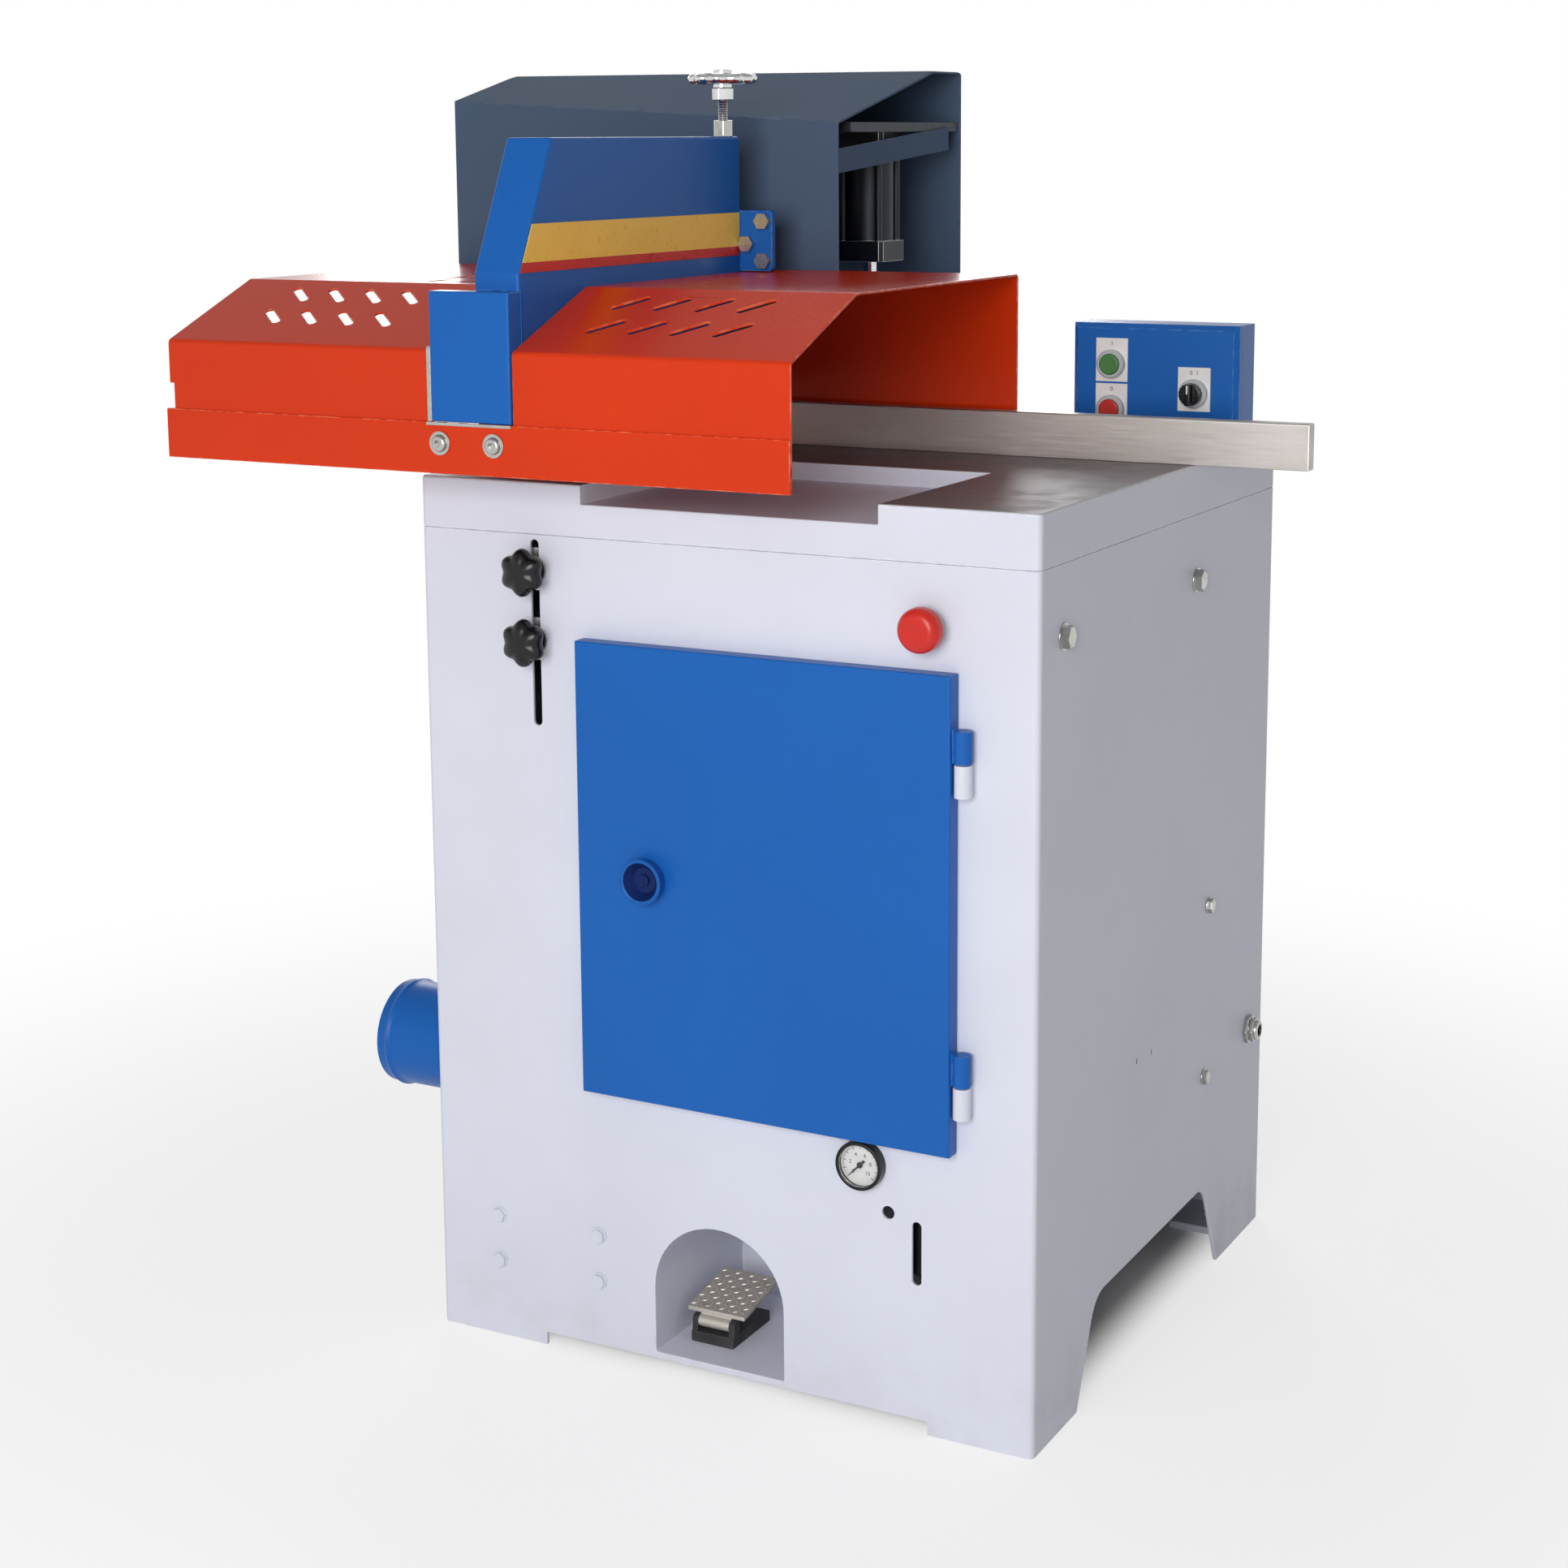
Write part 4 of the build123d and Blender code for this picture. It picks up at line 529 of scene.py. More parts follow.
def bladeFinish(name, look):
    made = Finish(name)
    turning = made.rings(look["centre"], look["ring"])
    stain = made.noise(look["blotch"], 4).between(*look["stainBand"]) * look["stain"]
    base = made.tint(made.tones(turning, look), stain, look["stained"])
    rough = look["rough"] + turning * look["turningRough"]
    made.surface({"Base Color": base, "Metallic": 1.0, "Roughness": rough})
    made.bump(turning, look["depth"])
    return made.material


def tapeFinish(name, look):
    made = Finish(name)
    drift = made.noise(look["drift"], 4)
    rubAndHighlight = made.noise(look["rubSize"], 6).between(*look["rubBand"])
    base = made.tint(made.tones(drift, look), rubAndHighlight * look["wear"], look["worn"])
    rough = look["rough"] + rubAndHighlight * look["rubRough"]
    made.surface({"Base Color": base, "Roughness": rough, "Specular IOR Level": look["gloss"]})
    made.bump(made.noise(look["grain"], 3), look["depth"])
    return made.material


sheetPaint = {
    "drift": 0.22, "peel": 2.6 * mm, "depth": 0.035 * mm, "wear": 0.5, "rubSize": 11 * mm, "dust": 0.0,
    "dustHeight": 0.1, "dustSize": 30 * mm, "dustShade": (128, 122, 114), "tones": (0.97, 1.03),
    "driftBand": (0.3, 0.7), "rubBand": (0.38, 0.68), "dustBand": (0.35, 0.8), "driftRough": 0.14,
    "speckRough": 0.08, "dustRough": 0.2, "speckRise": 0.25,
}
paints = {
    "cabinet_paint": {
        **sheetPaint, "shade": (219, 221, 233), "worn": (240, 240, 244), "rough": 0.42, "gloss": 0.25,
        "dust": 0.1, "dustHeight": 0.12,
    },
    "blue_paint": {
        **sheetPaint, "shade": (27, 97, 178), "worn": (104, 150, 208), "rough": 0.34, "gloss": 0.18,
    },
    # the hood's rim colour is lighter and its share raised: rubbed paint, and also a painted highlight
    # along the folded edges
    "hood_paint": {
        **sheetPaint, "shade": (212, 54, 10), "worn": (250, 150, 110), "rough": 0.26, "gloss": 0.22,
        "wear": 0.6,
    },
    "slate_paint": {
        **sheetPaint, "shade": (82, 100, 124), "worn": (126, 142, 160), "rough": 0.7, "gloss": 0.06,
    },
    # dark cast paint, made darker still as painted shade for the shadow inside the rear cover
    "cast_paint": {
        **sheetPaint, "shade": (48, 56, 66), "worn": (104, 112, 120), "rough": 0.5, "gloss": 0.3,
        "peel": 3.5 * mm, "depth": 0.25 * mm,
    },
    "pedal_iron": {
        **sheetPaint, "shade": (38, 38, 40), "worn": (96, 94, 92), "rough": 0.5, "gloss": 0.4,
        "peel": 2.2 * mm, "depth": 0.18 * mm, "dust": 0.4, "dustHeight": 0.06,
    },
}
rawMetal = {
    "mark": 2.0 * mm, "stretch": (1, 1, 1), "blotch": 0.07, "stain": 0.2, "stained": (112, 98, 84),
    "edge": (214, 212, 208), "rough": 0.3, "scatter": 0.2, "depth": 0.02 * mm, "metal": 1.0,
    "tones": (0.86, 1.1), "stainBand": (0.46, 0.72), "stainRough": 0.6, "stainDull": 0.35,
    "edgeShare": 0.5, "edgeSleek": 0.05, "fineRise": 0.3,
}
metals = {
    "table_iron": {
        **rawMetal, "shade": (122, 116, 118), "stretch": (0.04, 1, 1), "stain": 0.14, "rough": 0.46,
        "mark": 1.6 * mm, "blotch": 0.03, "depth": 0.015 * mm, "metal": 0.5,
    },
    "bare_steel": {**rawMetal, "shade": (184, 178, 174), "stretch": (0.05, 1, 1), "rough": 0.4},
    # the guide rods' chrome is given a dark grey: painted shade for the rods in the shadow of the cover's
    # slot
    "rod_steel": {
        **rawMetal, "shade": (92, 94, 98), "rough": 0.22, "depth": 0.006 * mm, "edge": (120, 120, 120),
    },
    "dark_fasteners": {
        **rawMetal, "shade": (58, 58, 60), "edge": (120, 120, 120), "rough": 0.4, "mark": 1 * mm,
    },
    "bright_fasteners": {
        **rawMetal, "shade": (186, 186, 182), "rough": 0.24, "mark": 1 * mm, "blotch": 8 * mm,
    },
    "chrome": {
        **rawMetal, "shade": (214, 215, 216), "rough": 0.09, "scatter": 0.05, "stain": 0.08,
        "depth": 0.004 * mm, "blotch": 14 * mm, "edge": (236, 236, 236),
    },
    "motor_aluminium": {
        **rawMetal, "shade": (150, 155, 160), "rough": 0.5, "depth": 0.08 * mm, "metal": 0.55,
    },
    "pulley_iron": {**rawMetal, "shade": (104, 104, 106), "rough": 0.4, "depth": 0.05 * mm},
    # dark anodised grey, made darker still as painted shade for the shadow inside the rear cover
    "cylinder_aluminium": {**rawMetal, "shade": (52, 55, 60), "stretch": (1, 1, 0.06), "rough": 0.46},
    "tread_steel": {
        **rawMetal, "shade": (204, 196, 184), "rough": 0.46, "stain": 0.3, "blotch": 16 * mm, "metal": 0.55,
    },
}
moulded = {
    "grain": 0.8 * mm, "drift": 18 * mm, "depth": 0.03 * mm, "rough": 0.34, "coat": 0.15, "gloss": 0.4,
    "wear": 0.3, "worn": (120, 120, 120), "tones": (0.88, 1.1), "driftRough": 0.16, "grainRough": 0.1,
    "coatRough": 0.12,
}
plastics = {
    "black_plastic": {**moulded, "shade": (20, 18, 20), "rough": 0.24, "coat": 0.1, "gloss": 0.3},
    "bezel_plastic": {**moulded, "shade": (186, 188, 190), "worn": (220, 220, 220)},
    "gauge_black": {**moulded, "shade": (24, 24, 26), "rough": 0.3, "gloss": 0.3},
    "legend_white": {**moulded, "shade": (232, 230, 228), "worn": (246, 246, 246), "rough": 0.4},
    "needle_black": {**moulded, "shade": (20, 20, 20), "rough": 0.5},
    # dark blue for the inside of the latch's dish: painted shade in the recess
    "well_blue": {
        **moulded, "shade": (12, 36, 92), "worn": (60, 90, 150), "rough": 0.4, "coat": 0.0, "gloss": 0.15,
    },
    "stop_red": {
        **moulded, "shade": (206, 40, 30), "worn": (232, 96, 90), "rough": 0.3, "coat": 0.1, "gloss": 0.3,
    },
    "button_red": {**moulded, "shade": (196, 44, 30), "worn": (226, 110, 96)},
    "button_green": {**moulded, "shade": (70, 124, 66), "worn": (130, 168, 126)},
    "belt_rubber": {
        **moulded, "shade": (26, 26, 26), "rough": 0.7, "coat": 0.0, "grain": 1.6 * mm, "depth": 0.1 * mm,
    },
}
glasses = {
    "gauge_glass": {
        "smear": 9 * mm, "clear": (0.96, 0.97, 0.97), "smeared": (0.9, 0.92, 0.92), "bend": 1.3,
        "smearBand": (0.4, 0.8), "rough": 0.02, "smearRough": 0.05,
    },
}
blades = {
    "blade_steel": {
        "shade": (180, 182, 184), "stained": (140, 128, 112), "ring": 1.4 * mm, "depth": 0.012 * mm,
        "blotch": 40 * mm, "centre": boxOf("saw_blade")[2], "tones": (0.8, 1.12), "stain": 0.4,
        "stainBand": (0.5, 0.8), "rough": 0.2, "turningRough": 0.22,
    },
}
gummed = {
    "drift": 60 * mm, "rubSize": 7 * mm, "grain": 3 * mm, "depth": 0.02 * mm, "tones": (0.9, 1.06),
    "rubBand": (0.56, 0.75), "wear": 0.35, "rough": 0.42, "rubRough": 0.2, "gloss": 0.3,
}
tapes = {
    "strip_yellow": {**gummed, "shade": (255, 214, 92), "worn": (206, 160, 70)},
    "strip_red": {**gummed, "shade": (206, 46, 36), "worn": (150, 38, 34)},
}
kinds = (
    (paintFinish, paints), (metalFinish, metals), (plasticFinish, plastics), (glassFinish, glasses),
    (bladeFinish, blades), (tapeFinish, tapes),
)
finishes = {name: make(name, look) for make, looks in kinds for name, look in looks.items()}
print("finishes made:", len(finishes))


# CAD pieces whose edges are broken: each one's slot and the width of its broken edge

edged = {
    "cabinet_shell": ("cabinet_paint", 1.2 * mm),
    "hinge_knuckles": ("cabinet_paint", 0.6 * mm),
    "table_insert": ("bare_steel", 0.6 * mm),
    "fence_left": ("bare_steel", 1.0 * mm),
    "fence_right": ("bare_steel", 1.0 * mm),
    "fence_brackets": ("cast_paint", 0.8 * mm),
    "column_base": ("cast_paint", 1.0 * mm),
    "top_plate": ("cast_paint", 0.8 * mm),
    "rear_cover": ("slate_paint", 0.6 * mm),
    "control_box": ("blue_paint", 0.5 * mm),
    "control_lid": ("blue_paint", 0.6 * mm),
    "pedal_base": ("pedal_iron", 0.8 * mm),
    "pivot_brackets": ("cast_paint", 1.0 * mm),
    "lift_bracket": ("cast_paint", 0.8 * mm),
    "swing_arm": ("cast_paint", 1.0 * mm),
    "hood_left": ("hood_paint", 0.9 * mm),
    "hood_right": ("hood_paint", 0.9 * mm),
    "hood_strip": ("hood_paint", 0.9 * mm),
    "carriage": ("blue_paint", 1.0 * mm),
    "door_panel": ("blue_paint", 0.6 * mm),
    "clamp_cylinder": ("cylinder_aluminium", 0.5 * mm),
    "air_regulator": ("cylinder_aluminium", 0.6 * mm),
    "stop_block": ("dark_fasteners", 0.8 * mm),
}


def breakEdges():
    for node, (slot, edge) in edged.items():
        finishPiece(edgedCopy(node, edge), bodyOf(node), slot, node)


# table, ground on top, with paint round its skirt and in its recess

table = {"edge": 1.4 * mm, "groundDepth": 6 * mm, "level": 0.6}


def makeTable():
    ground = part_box("table_top")[1].z - table["groundDepth"]
    piece = edgedCopy("table_top", table["edge"], 3)
    finishPiece(piece, "root", "table_iron", "table_top")
    addFinish(piece, finishes["cabinet_paint"],
              lambda place, normal: place.z <= ground or normal.z <= table["level"])


# CAD pieces that keep their own shape

kept = {
    "fence_screws": "dark_fasteners", "guide_rods": "rod_steel", "pivot_shaft": "bare_steel",
    "spindle_shaft": "bare_steel", "spindle_bearings": "bright_fasteners", "saw_blade": "blade_steel",
    "blade_flanges": "bare_steel", "spindle_pulley": "pulley_iron", "motor_pulley": "pulley_iron",
    "drive_belt": "belt_rubber", "lift_barrel": "cylinder_aluminium", "lift_rod": "chrome",
    "clamp_rod": "chrome", "clamp_screws": "bright_fasteners", "legend_plates": "legend_white",
    "button_bezels": "bezel_plastic", "stop_button": "stop_red", "green_button": "button_green",
    "red_button": "button_red", "upper_stop_stud": "bright_fasteners",
    "lower_stop_stud": "bright_fasteners",
}


def dressKept():
    for node, slot in kept.items():
        for place in nodes[node].material_slots:
            place.material = finishes[slot]


# star knobs, a lobed ball on a neck

starKnob = {
    "lobes": 6, "lobeSides": 4, "neckRadius": 10 * mm, "neckDepth": 9 * mm, "flare": 1.04,
    "valley": 0.76, "flank": 0.91, "skirt": 3 * mm, "body": 9 * mm, "smooth": 60,
    "crowns": ((0.86, 4.5 * mm), (0.6, 3.2 * mm), (0.4, 1 * mm)),
}


def makeStarKnobs():
    low, high, centre = boxOf("upper_star_knob")
    neckFront = high.y - starKnob["neckDepth"]
    front = neckFront - starKnob["skirt"]
    sides = starKnob["lobes"] * starKnob["lobeSides"]
    disc = discsOn(centre, "y")
    piece = disc("upper_star_knob_made", neckFront, high.y, starKnob["neckRadius"], sides)

    def swell(p):
        # 1 on the crest of a lobe, -1 in a valley
        return cos(starKnob["lobes"] * atan2(p.x - centre.x, p.z - centre.z))

    edit(piece)
    pickFacing(ahead)
    pull(ahead * starKnob["skirt"])
    widen((high.x - low.x) / 2 * starKnob["flare"] / starKnob["neckRadius"], "y", centre)
    pickPoints(lambda p: p.y < front + hair and swell(p) < -0.9)
    widen(starKnob["valley"], "y", centre)
    pickPoints(lambda p: p.y < front + hair and abs(swell(p)) < 0.1)
    widen(starKnob["flank"], "y", centre)
    pickFacing(ahead)
    pull(ahead * starKnob["body"])
    for share, rise in starKnob["crowns"]:
        pull(ahead * rise)
        widen(share, "y", centre)
    leave()
    modify(piece, "SUBSURF", levels=2, render_levels=2)
    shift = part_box("lower_star_knob")[0] - low
    other = copied(piece, "lower_star_knob_made", Matrix.Translation(shift))
    for made, node in ((piece, "upper_star_knob"), (other, "lower_star_knob")):
        finishPiece(made, bodyOf(node), "black_plastic", node, starKnob["smooth"])


# guard arm, with a bright nut on its top and a pale trim beside its nose

guardArm = {"edge": 1.0 * mm, "nut": 16 * mm, "nutGap": 0.3 * mm}
trim = {
    "width": 4.5 * mm, "depth": 1.0 * mm, "top": 976 * mm, "gap": 0.7 * mm, "lap": 0.2 * mm, "tip": 3 * mm,
    "lean": 1.2 * mm, "edge": 0.25 * mm, "ledge": 3 * mm, "ledgeGap": 0.1 * mm, "ledgeRound": 0.6 * mm,
}


def makeArm():
    piece = edgedCopy("guard_arm", guardArm["edge"])
    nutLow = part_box("guard_arm")[1].z - guardArm["nut"] + guardArm["nutGap"]
    finishPiece(piece, "clamp", "blue_paint", "guard_arm")
    addFinish(piece, finishes["bright_fasteners"], lambda place, normal: place.z > nutLow)


def makeTrim():
    armLow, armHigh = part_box("guard_arm")
    stripLow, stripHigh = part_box("hood_strip")
    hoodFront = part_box("hood_left")[0].y
    right = armLow.x - trim["gap"]
    left = right - trim["width"]
    upright = startBlock(
        "nose_trim", (left, hoodFront - trim["depth"], stripHigh.z + trim["lap"]),
        (right, hoodFront + trim["lap"], trim["top"]),
    )
    edit(upright)
    pickFacing(upward)
    pull(upward * trim["tip"])
    slide(behind * trim["lean"])
    leave()
    softEdges(upright, trim["edge"])
    ledge = startBlock(
        "ledge", (left, stripLow.y - trim["depth"], stripHigh.z - trim["ledge"]),
        (armHigh.x, stripLow.y + trim["lap"], stripHigh.z - trim["ledgeGap"]),
    )
    middle = stripHigh.z - trim["ledge"] / 2
    roundOff(ledge, lambda a, b: max(a.z, b.z) < middle and max(a.y, b.y) < stripLow.y, trim["ledgeRound"])
    finishPiece(joined("nose_trim", [upright, ledge]), "clamp", "bright_fasteners")


# handwheel with a scalloped rim, and the threaded stop screw under it

wheel = {
    "lobes": 10, "rim": 5 * mm, "scallops": ((0.1, 0.97), (-0.5, 0.95)), "hub": 10 * mm, "dish": 3 * mm,
    "hubEdge": 0.8 * mm, "spokes": 3, "spokeWidth": 9 * mm, "spokeDepth": 6 * mm, "spokeEdge": 1.2 * mm,
    "taper": (1, 0.7, 0.8), "lobeSides": 8, "rimSides": 16, "smooth": 50,
}
stopScrew = {
    "radius": 5 * mm, "edge": 0.6 * mm, "nutFlats": 19 * mm, "nut": 12 * mm, "nutEdge": 0.9 * mm,
    "collar": 6.5 * mm, "collarTop": 1159.7 * mm, "collarDepth": 6 * mm, "collarEdge": 0.5 * mm,
    "threads": 10, "threadLength": 22 * mm, "root": 0.84,
}


def makeHandwheel():
    low, high, centre = boxOf("handwheel")
    reach = (high.x - low.x) / 2 - wheel["rim"]
    clearPick()
    bpy.ops.mesh.primitive_torus_add(
        major_segments=wheel["lobes"] * wheel["lobeSides"], minor_segments=wheel["rimSides"],
        major_radius=reach, minor_radius=wheel["rim"], location=centre,
    )
    ring = settle("ring")
    edit(ring)
    for bound, share in wheel["scallops"]:
        pickPoints(lambda p: (p - centre).xy.length > reach
                   and cos(wheel["lobes"] * atan2(p.y - centre.y, p.x - centre.x)) < bound)
        widen(share, "z", centre)
    leave()
    hub = discsOn(centre, "z")("hub", low.z, high.z, wheel["hub"], studSides)
    sink(hub, upward, wheel["dish"], wheel["dish"])
    softEdges(hub, wheel["hubEdge"], 3)
    half = Vector((0, wheel["spokeWidth"] / 2, wheel["spokeDepth"] / 2))
    spoke = startBlock("spoke", centre - half, centre + half + rightward * reach)
    taper(spoke, rightward, wheel["taper"], centre)
    softEdges(spoke, wheel["spokeEdge"], 3)
    spins = [turned(360 / wheel["spokes"] * count, "Z", centre) for count in range(1, wheel["spokes"])]
    made = joined("handwheel_made", [ring, hub] + repeated(spoke, spins))
    finishPiece(made, "screw", "chrome", "handwheel", wheel["smooth"])


def makeStopScrew():
    low, high, centre = boxOf("stop_screw")
    disc = discsOn(centre, "z")
    nutLow = high.z - stopScrew["nut"]
    threadLow = nutLow - stopScrew["threadLength"]
    shank = disc("shank", low.z, threadLow, stopScrew["radius"], pinSides, stopScrew["edge"])
    thread = disc("thread", threadLow, nutLow, stopScrew["radius"], pinSides)
    edit(thread)
    pick("EDGE", lambda edge: abs(edge.verts[0].co.z - edge.verts[1].co.z) > hair)
    bpy.ops.mesh.subdivide(number_cuts=2 * stopScrew["threads"] - 1)
    step = stopScrew["threadLength"] / (2 * stopScrew["threads"])
    pickPoints(lambda p: round((p.z - threadLow) / step) % 2 == 1)
    widen(stopScrew["root"], "z", centre)
    leave()
    nut = disc("nut", nutLow, high.z, stopScrew["nutFlats"] / sqrt(3), hexSides, stopScrew["nutEdge"], 3)
    top = stopScrew["collarTop"]
    collar = disc(
        "collar", top - stopScrew["collarDepth"], top, stopScrew["collar"], studSides,
        stopScrew["collarEdge"],
    )
    finishPiece(joined("stop_screw_made", [shank, thread, nut, collar]), "screw", "chrome", "stop_screw")


# dust port with a swaged bead for the hose clip

port = {
    "edge": 0.8 * mm, "beadFrom": 8 * mm, "beadWidth": 9 * mm, "beadSteps": 4, "beadRise": 1.045,
    "raises": ((1.2, 0.6), (0.2, 0.4)),
}


def makePort():
    centre = boxOf("dust_port")[2]
    piece = edgedCopy("dust_port", port["edge"])
    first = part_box("dust_port")[0].x + port["beadFrom"]
    middle = first + port["beadWidth"] / 2
    step = port["beadWidth"] / port["beadSteps"]
    edit(piece)
    for count in range(port["beadSteps"] + 1):
        bpy.ops.mesh.select_all(action="SELECT")
        bpy.ops.mesh.bisect(plane_co=rightward * (first + count * step), plane_no=rightward)
    # three rings are raised, then the middle one again
    for reach, power in port["raises"]:
        pickPoints(lambda p: abs(p.x - middle) < reach * step)
        widen(port["beadRise"] ** power, "x", centre)
    leave()
    finishPiece(piece, "root", "blue_paint", "dust_port")


# cable gland: two hexagons, a domed end and a rubber seal

gland = {
    "baseFlats": 27 * mm, "base": 5 * mm, "gap": 0.6 * mm, "nutFlats": 23 * mm, "nut": 4.5 * mm,
    "hexEdge": 1.0 * mm, "dome": 10.6 * mm, "domeRound": 2.6 * mm, "domeLap": 0.2 * mm, "mouth": 6.5 * mm,
    "mouthShare": 0.8, "shank": 11 * mm, "sealFrom": 3.4 * mm, "sealTo": 1 * mm, "sealLip": 2 * mm,
    "sealDepth": 2 * mm, "sealEdge": 0.4 * mm,
}


def makeGland():
    low, high, centre = boxOf("cable_gland")
    disc = discsOn(centre, "x")
    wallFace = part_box("cabinet_shell")[1].x
    baseTo = wallFace + gland["base"]
    nutFrom = baseTo + gland["gap"]
    domeFrom = nutFrom + gland["nut"]
    shank = disc("shank", low.x, nutFrom, gland["shank"], studSides)
    base = disc("base", wallFace, baseTo, gland["baseFlats"] / sqrt(3), hexSides, gland["hexEdge"], 3)
    nut = disc("nut", nutFrom, domeFrom, gland["nutFlats"] / sqrt(3), hexSides, gland["hexEdge"], 3)
    dome = disc("dome", domeFrom - gland["domeLap"], high.x, gland["dome"], studSides)
    sink(dome, rightward, gland["dome"] - gland["mouth"], (high.x - domeFrom) * gland["mouthShare"])

    def onRim(p):
        return p.x > high.x - hair and (p.yz - centre.yz).length > gland["dome"] * nearRim

    roundOff(dome, lambda a, b: onRim(a) and onRim(b), gland["domeRound"], 4)
    made = joined("cable_gland_made", [shank, base, nut, dome])
    finishPiece(made, "root", "bright_fasteners", "cable_gland")
    sealFrom, sealTo = high.x - gland["sealFrom"], high.x - gland["sealTo"]
    seal = disc("gland_seal", sealFrom, sealTo, gland["mouth"], studSides)
    sink(seal, rightward, gland["sealLip"], gland["sealDepth"])
    finishPiece(softEdges(seal, gland["sealEdge"]), "root", "black_plastic")


# hexagon bolts, painted over on the front, bright on the side

bolt = {
    "washerShare": 1.12, "washerDepth": 1.3 * mm, "washerEdge": 0.35 * mm, "insets": (0.45 * mm, 1.08 * mm),
    "crown": 0.25 * mm, "chamfer": 0.405 * mm, "shankShare": 0.3, "shankEdge": 0.4 * mm, "turn": 19,
}


def makeBolt(name, face, out, flats, head, shank):
    corner = flats / sqrt(3)
    seat = out * bolt["washerDepth"]
    collar = startDisc("collar", face, seat, corner * bolt["washerShare"], studSides, bolt["washerEdge"])
    hexagon = startDisc(name, face + seat, out * head - seat, corner, hexSides)
    edit(hexagon)
    pickFacing(out)
    for width in bolt["insets"]:
        inset(width)
    pull(out * bolt["crown"])
    leave()

    def onTop(a, b):
        spans = [p - face for p in (a, b)]
        level = min(span.dot(out) for span in spans)
        return level > head - hair and max(span.cross(out).length for span in spans) > corner * nearRim

    roundOff(hexagon, onTop, bolt["chamfer"], 2)
    body = startDisc("body", face, out * -shank, flats * bolt["shankShare"], pinSides, bolt["shankEdge"])
    return joined(name, [hexagon, collar, body])


def boltMove(first, spot, along, count):
    # no two bolts stand at the same turn
    return Matrix.Translation(spot - first) @ turned(bolt["turn"] * count, along, first)


def makeBolts():
    wallLow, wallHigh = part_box("cabinet_shell")
    sides = {
        "front_bolts": {"axis": 1, "out": ahead, "wall": wallLow, "slot": "cabinet_paint"},
        "side_bolts": {"axis": 0, "out": rightward, "wall": wallHigh, "slot": "bright_fasteners"},
    }
    parts = {group: [] for group in sides}
    models = {}
    for count, (low, high) in enumerate(looseBoxes("cabinet_bolts")):
        group = "front_bolts" if low.y < wallLow.y else "side_bolts"
        side = sides[group]
        axis, out, wall = side["axis"], side["out"], side["wall"]
        face, span = (low + high) / 2, high - low
        face[axis] = wall[axis]
        flats = min(span.z, span[1 - axis])
        head = max((end - wall).dot(out) for end in (low, high))
        kind = (group, round(flats / mm))
        if kind in models:
            model, first = models[kind]
            made = copied(model, "bolt%d" % count, boltMove(first, face, "XY"[axis], count))
        else:
            made = makeBolt("bolt%d" % count, face, out, flats, head, span[axis] - head)
            models[kind] = (made, face)
        parts[group].append(made)
    for group, side in sides.items():
        finishPiece(joined(group, parts[group]), "root", side["slot"], "cabinet_bolts")


def makeBoltSet(name, body, size, columns, rows, height):
    # upright bolts where columns and rows cross
    first, *others = [Vector((x, y, height)) for x in columns for y in rows]
    model = makeBolt(name, first, upward, size["flats"], size["head"], size["shank"])
    moves = [boltMove(first, spot, "Z", count) for count, spot in enumerate(others, 1)]
    finishPiece(joined(name, repeated(model, moves)), body, "bright_fasteners")


# screws that hold the rear cover to the top plate, bolts in the column's base, washers on the hood

coverScrew = {
    "radius": 6 * mm, "head": 3.6 * mm, "round": 2.4 * mm, "socket": 2.9 * mm, "sunk": 2.2 * mm,
    "shank": 4 * mm, "shankRadius": 3 * mm, "shankEdge": 0.4 * mm, "margin": 16 * mm, "count": 3,
    "shankSides": 16,
}
columnBolt = {"flats": 13 * mm, "head": 6 * mm, "shank": 9 * mm, "margin": 13 * mm}
washer = {"radius": 11 * mm, "depth": 1.8 * mm, "gap": 0.15 * mm, "edge": 0.4 * mm}


def makeCoverScrews():
    # button heads that face the back
    low, high, centre = boxOf("top_plate")
    face = Vector((low.x + coverScrew["margin"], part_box("rear_cover")[1].y, centre.z))
    head = behind * coverScrew["head"]
    top = face + head
    screw = startDisc("screw", face, head, coverScrew["radius"], studSides)
    roundOff(screw, lambda a, b: min(a.y, b.y) > top.y - hair, coverScrew["round"], 5)
    sunk = behind * coverScrew["sunk"]
    cutOut(startDisc("cutter", top - sunk, sunk * 2, coverScrew["socket"], hexSides), screw)
    shank = startDisc(
        "shank", face, ahead * coverScrew["shank"], coverScrew["shankRadius"], coverScrew["shankSides"],
        coverScrew["shankEdge"],
    )
    model = joined("screw", [screw, shank])
    step = rightward * (high.x - low.x - 2 * coverScrew["margin"]) / (coverScrew["count"] - 1)
    moves = [Matrix.Translation(step * count) for count in range(1, coverScrew["count"])]
    finishPiece(joined("cover_screws", repeated(model, moves)), "root", "dark_fasteners")


def makeColumnBolts():
    low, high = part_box("column_base")
    margin = columnBolt["margin"]
    columns, rows = [(low[axis] + margin, high[axis] - margin) for axis in (0, 1)]
    makeBoltSet("column_bolts", "root", columnBolt, columns, rows, high.z)


def makeWashers():
    # a plain washer around each screw at the front of the hood
    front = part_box("clamp_screws")[0].y
    heads = [(low, high) for low, high in looseBoxes("clamp_screws") if low.y < front + hair]
    first, *others = [Vector(((low.x + high.x) / 2, high.y, (low.z + high.z) / 2)) for low, high in heads]
    low, high = heads[0]
    depth = ahead * washer["depth"]
    model = startDisc("washer", first, depth, washer["radius"], ringSides)
    hole = (high.x - low.x) / 2 + washer["gap"]
    cutOut(startDisc("cutter", first - depth, depth * 3, hole, ringSides), model)
    softEdges(model, washer["edge"])
    parts = repeated(model, [Matrix.Translation(seat - first) for seat in others])
    finishPiece(joined("hood_washers", parts), "clamp", "bright_fasteners")


# motor: ribbed frame, drive-end shield, fan cowl with a grille of rings, foot and foot bolts

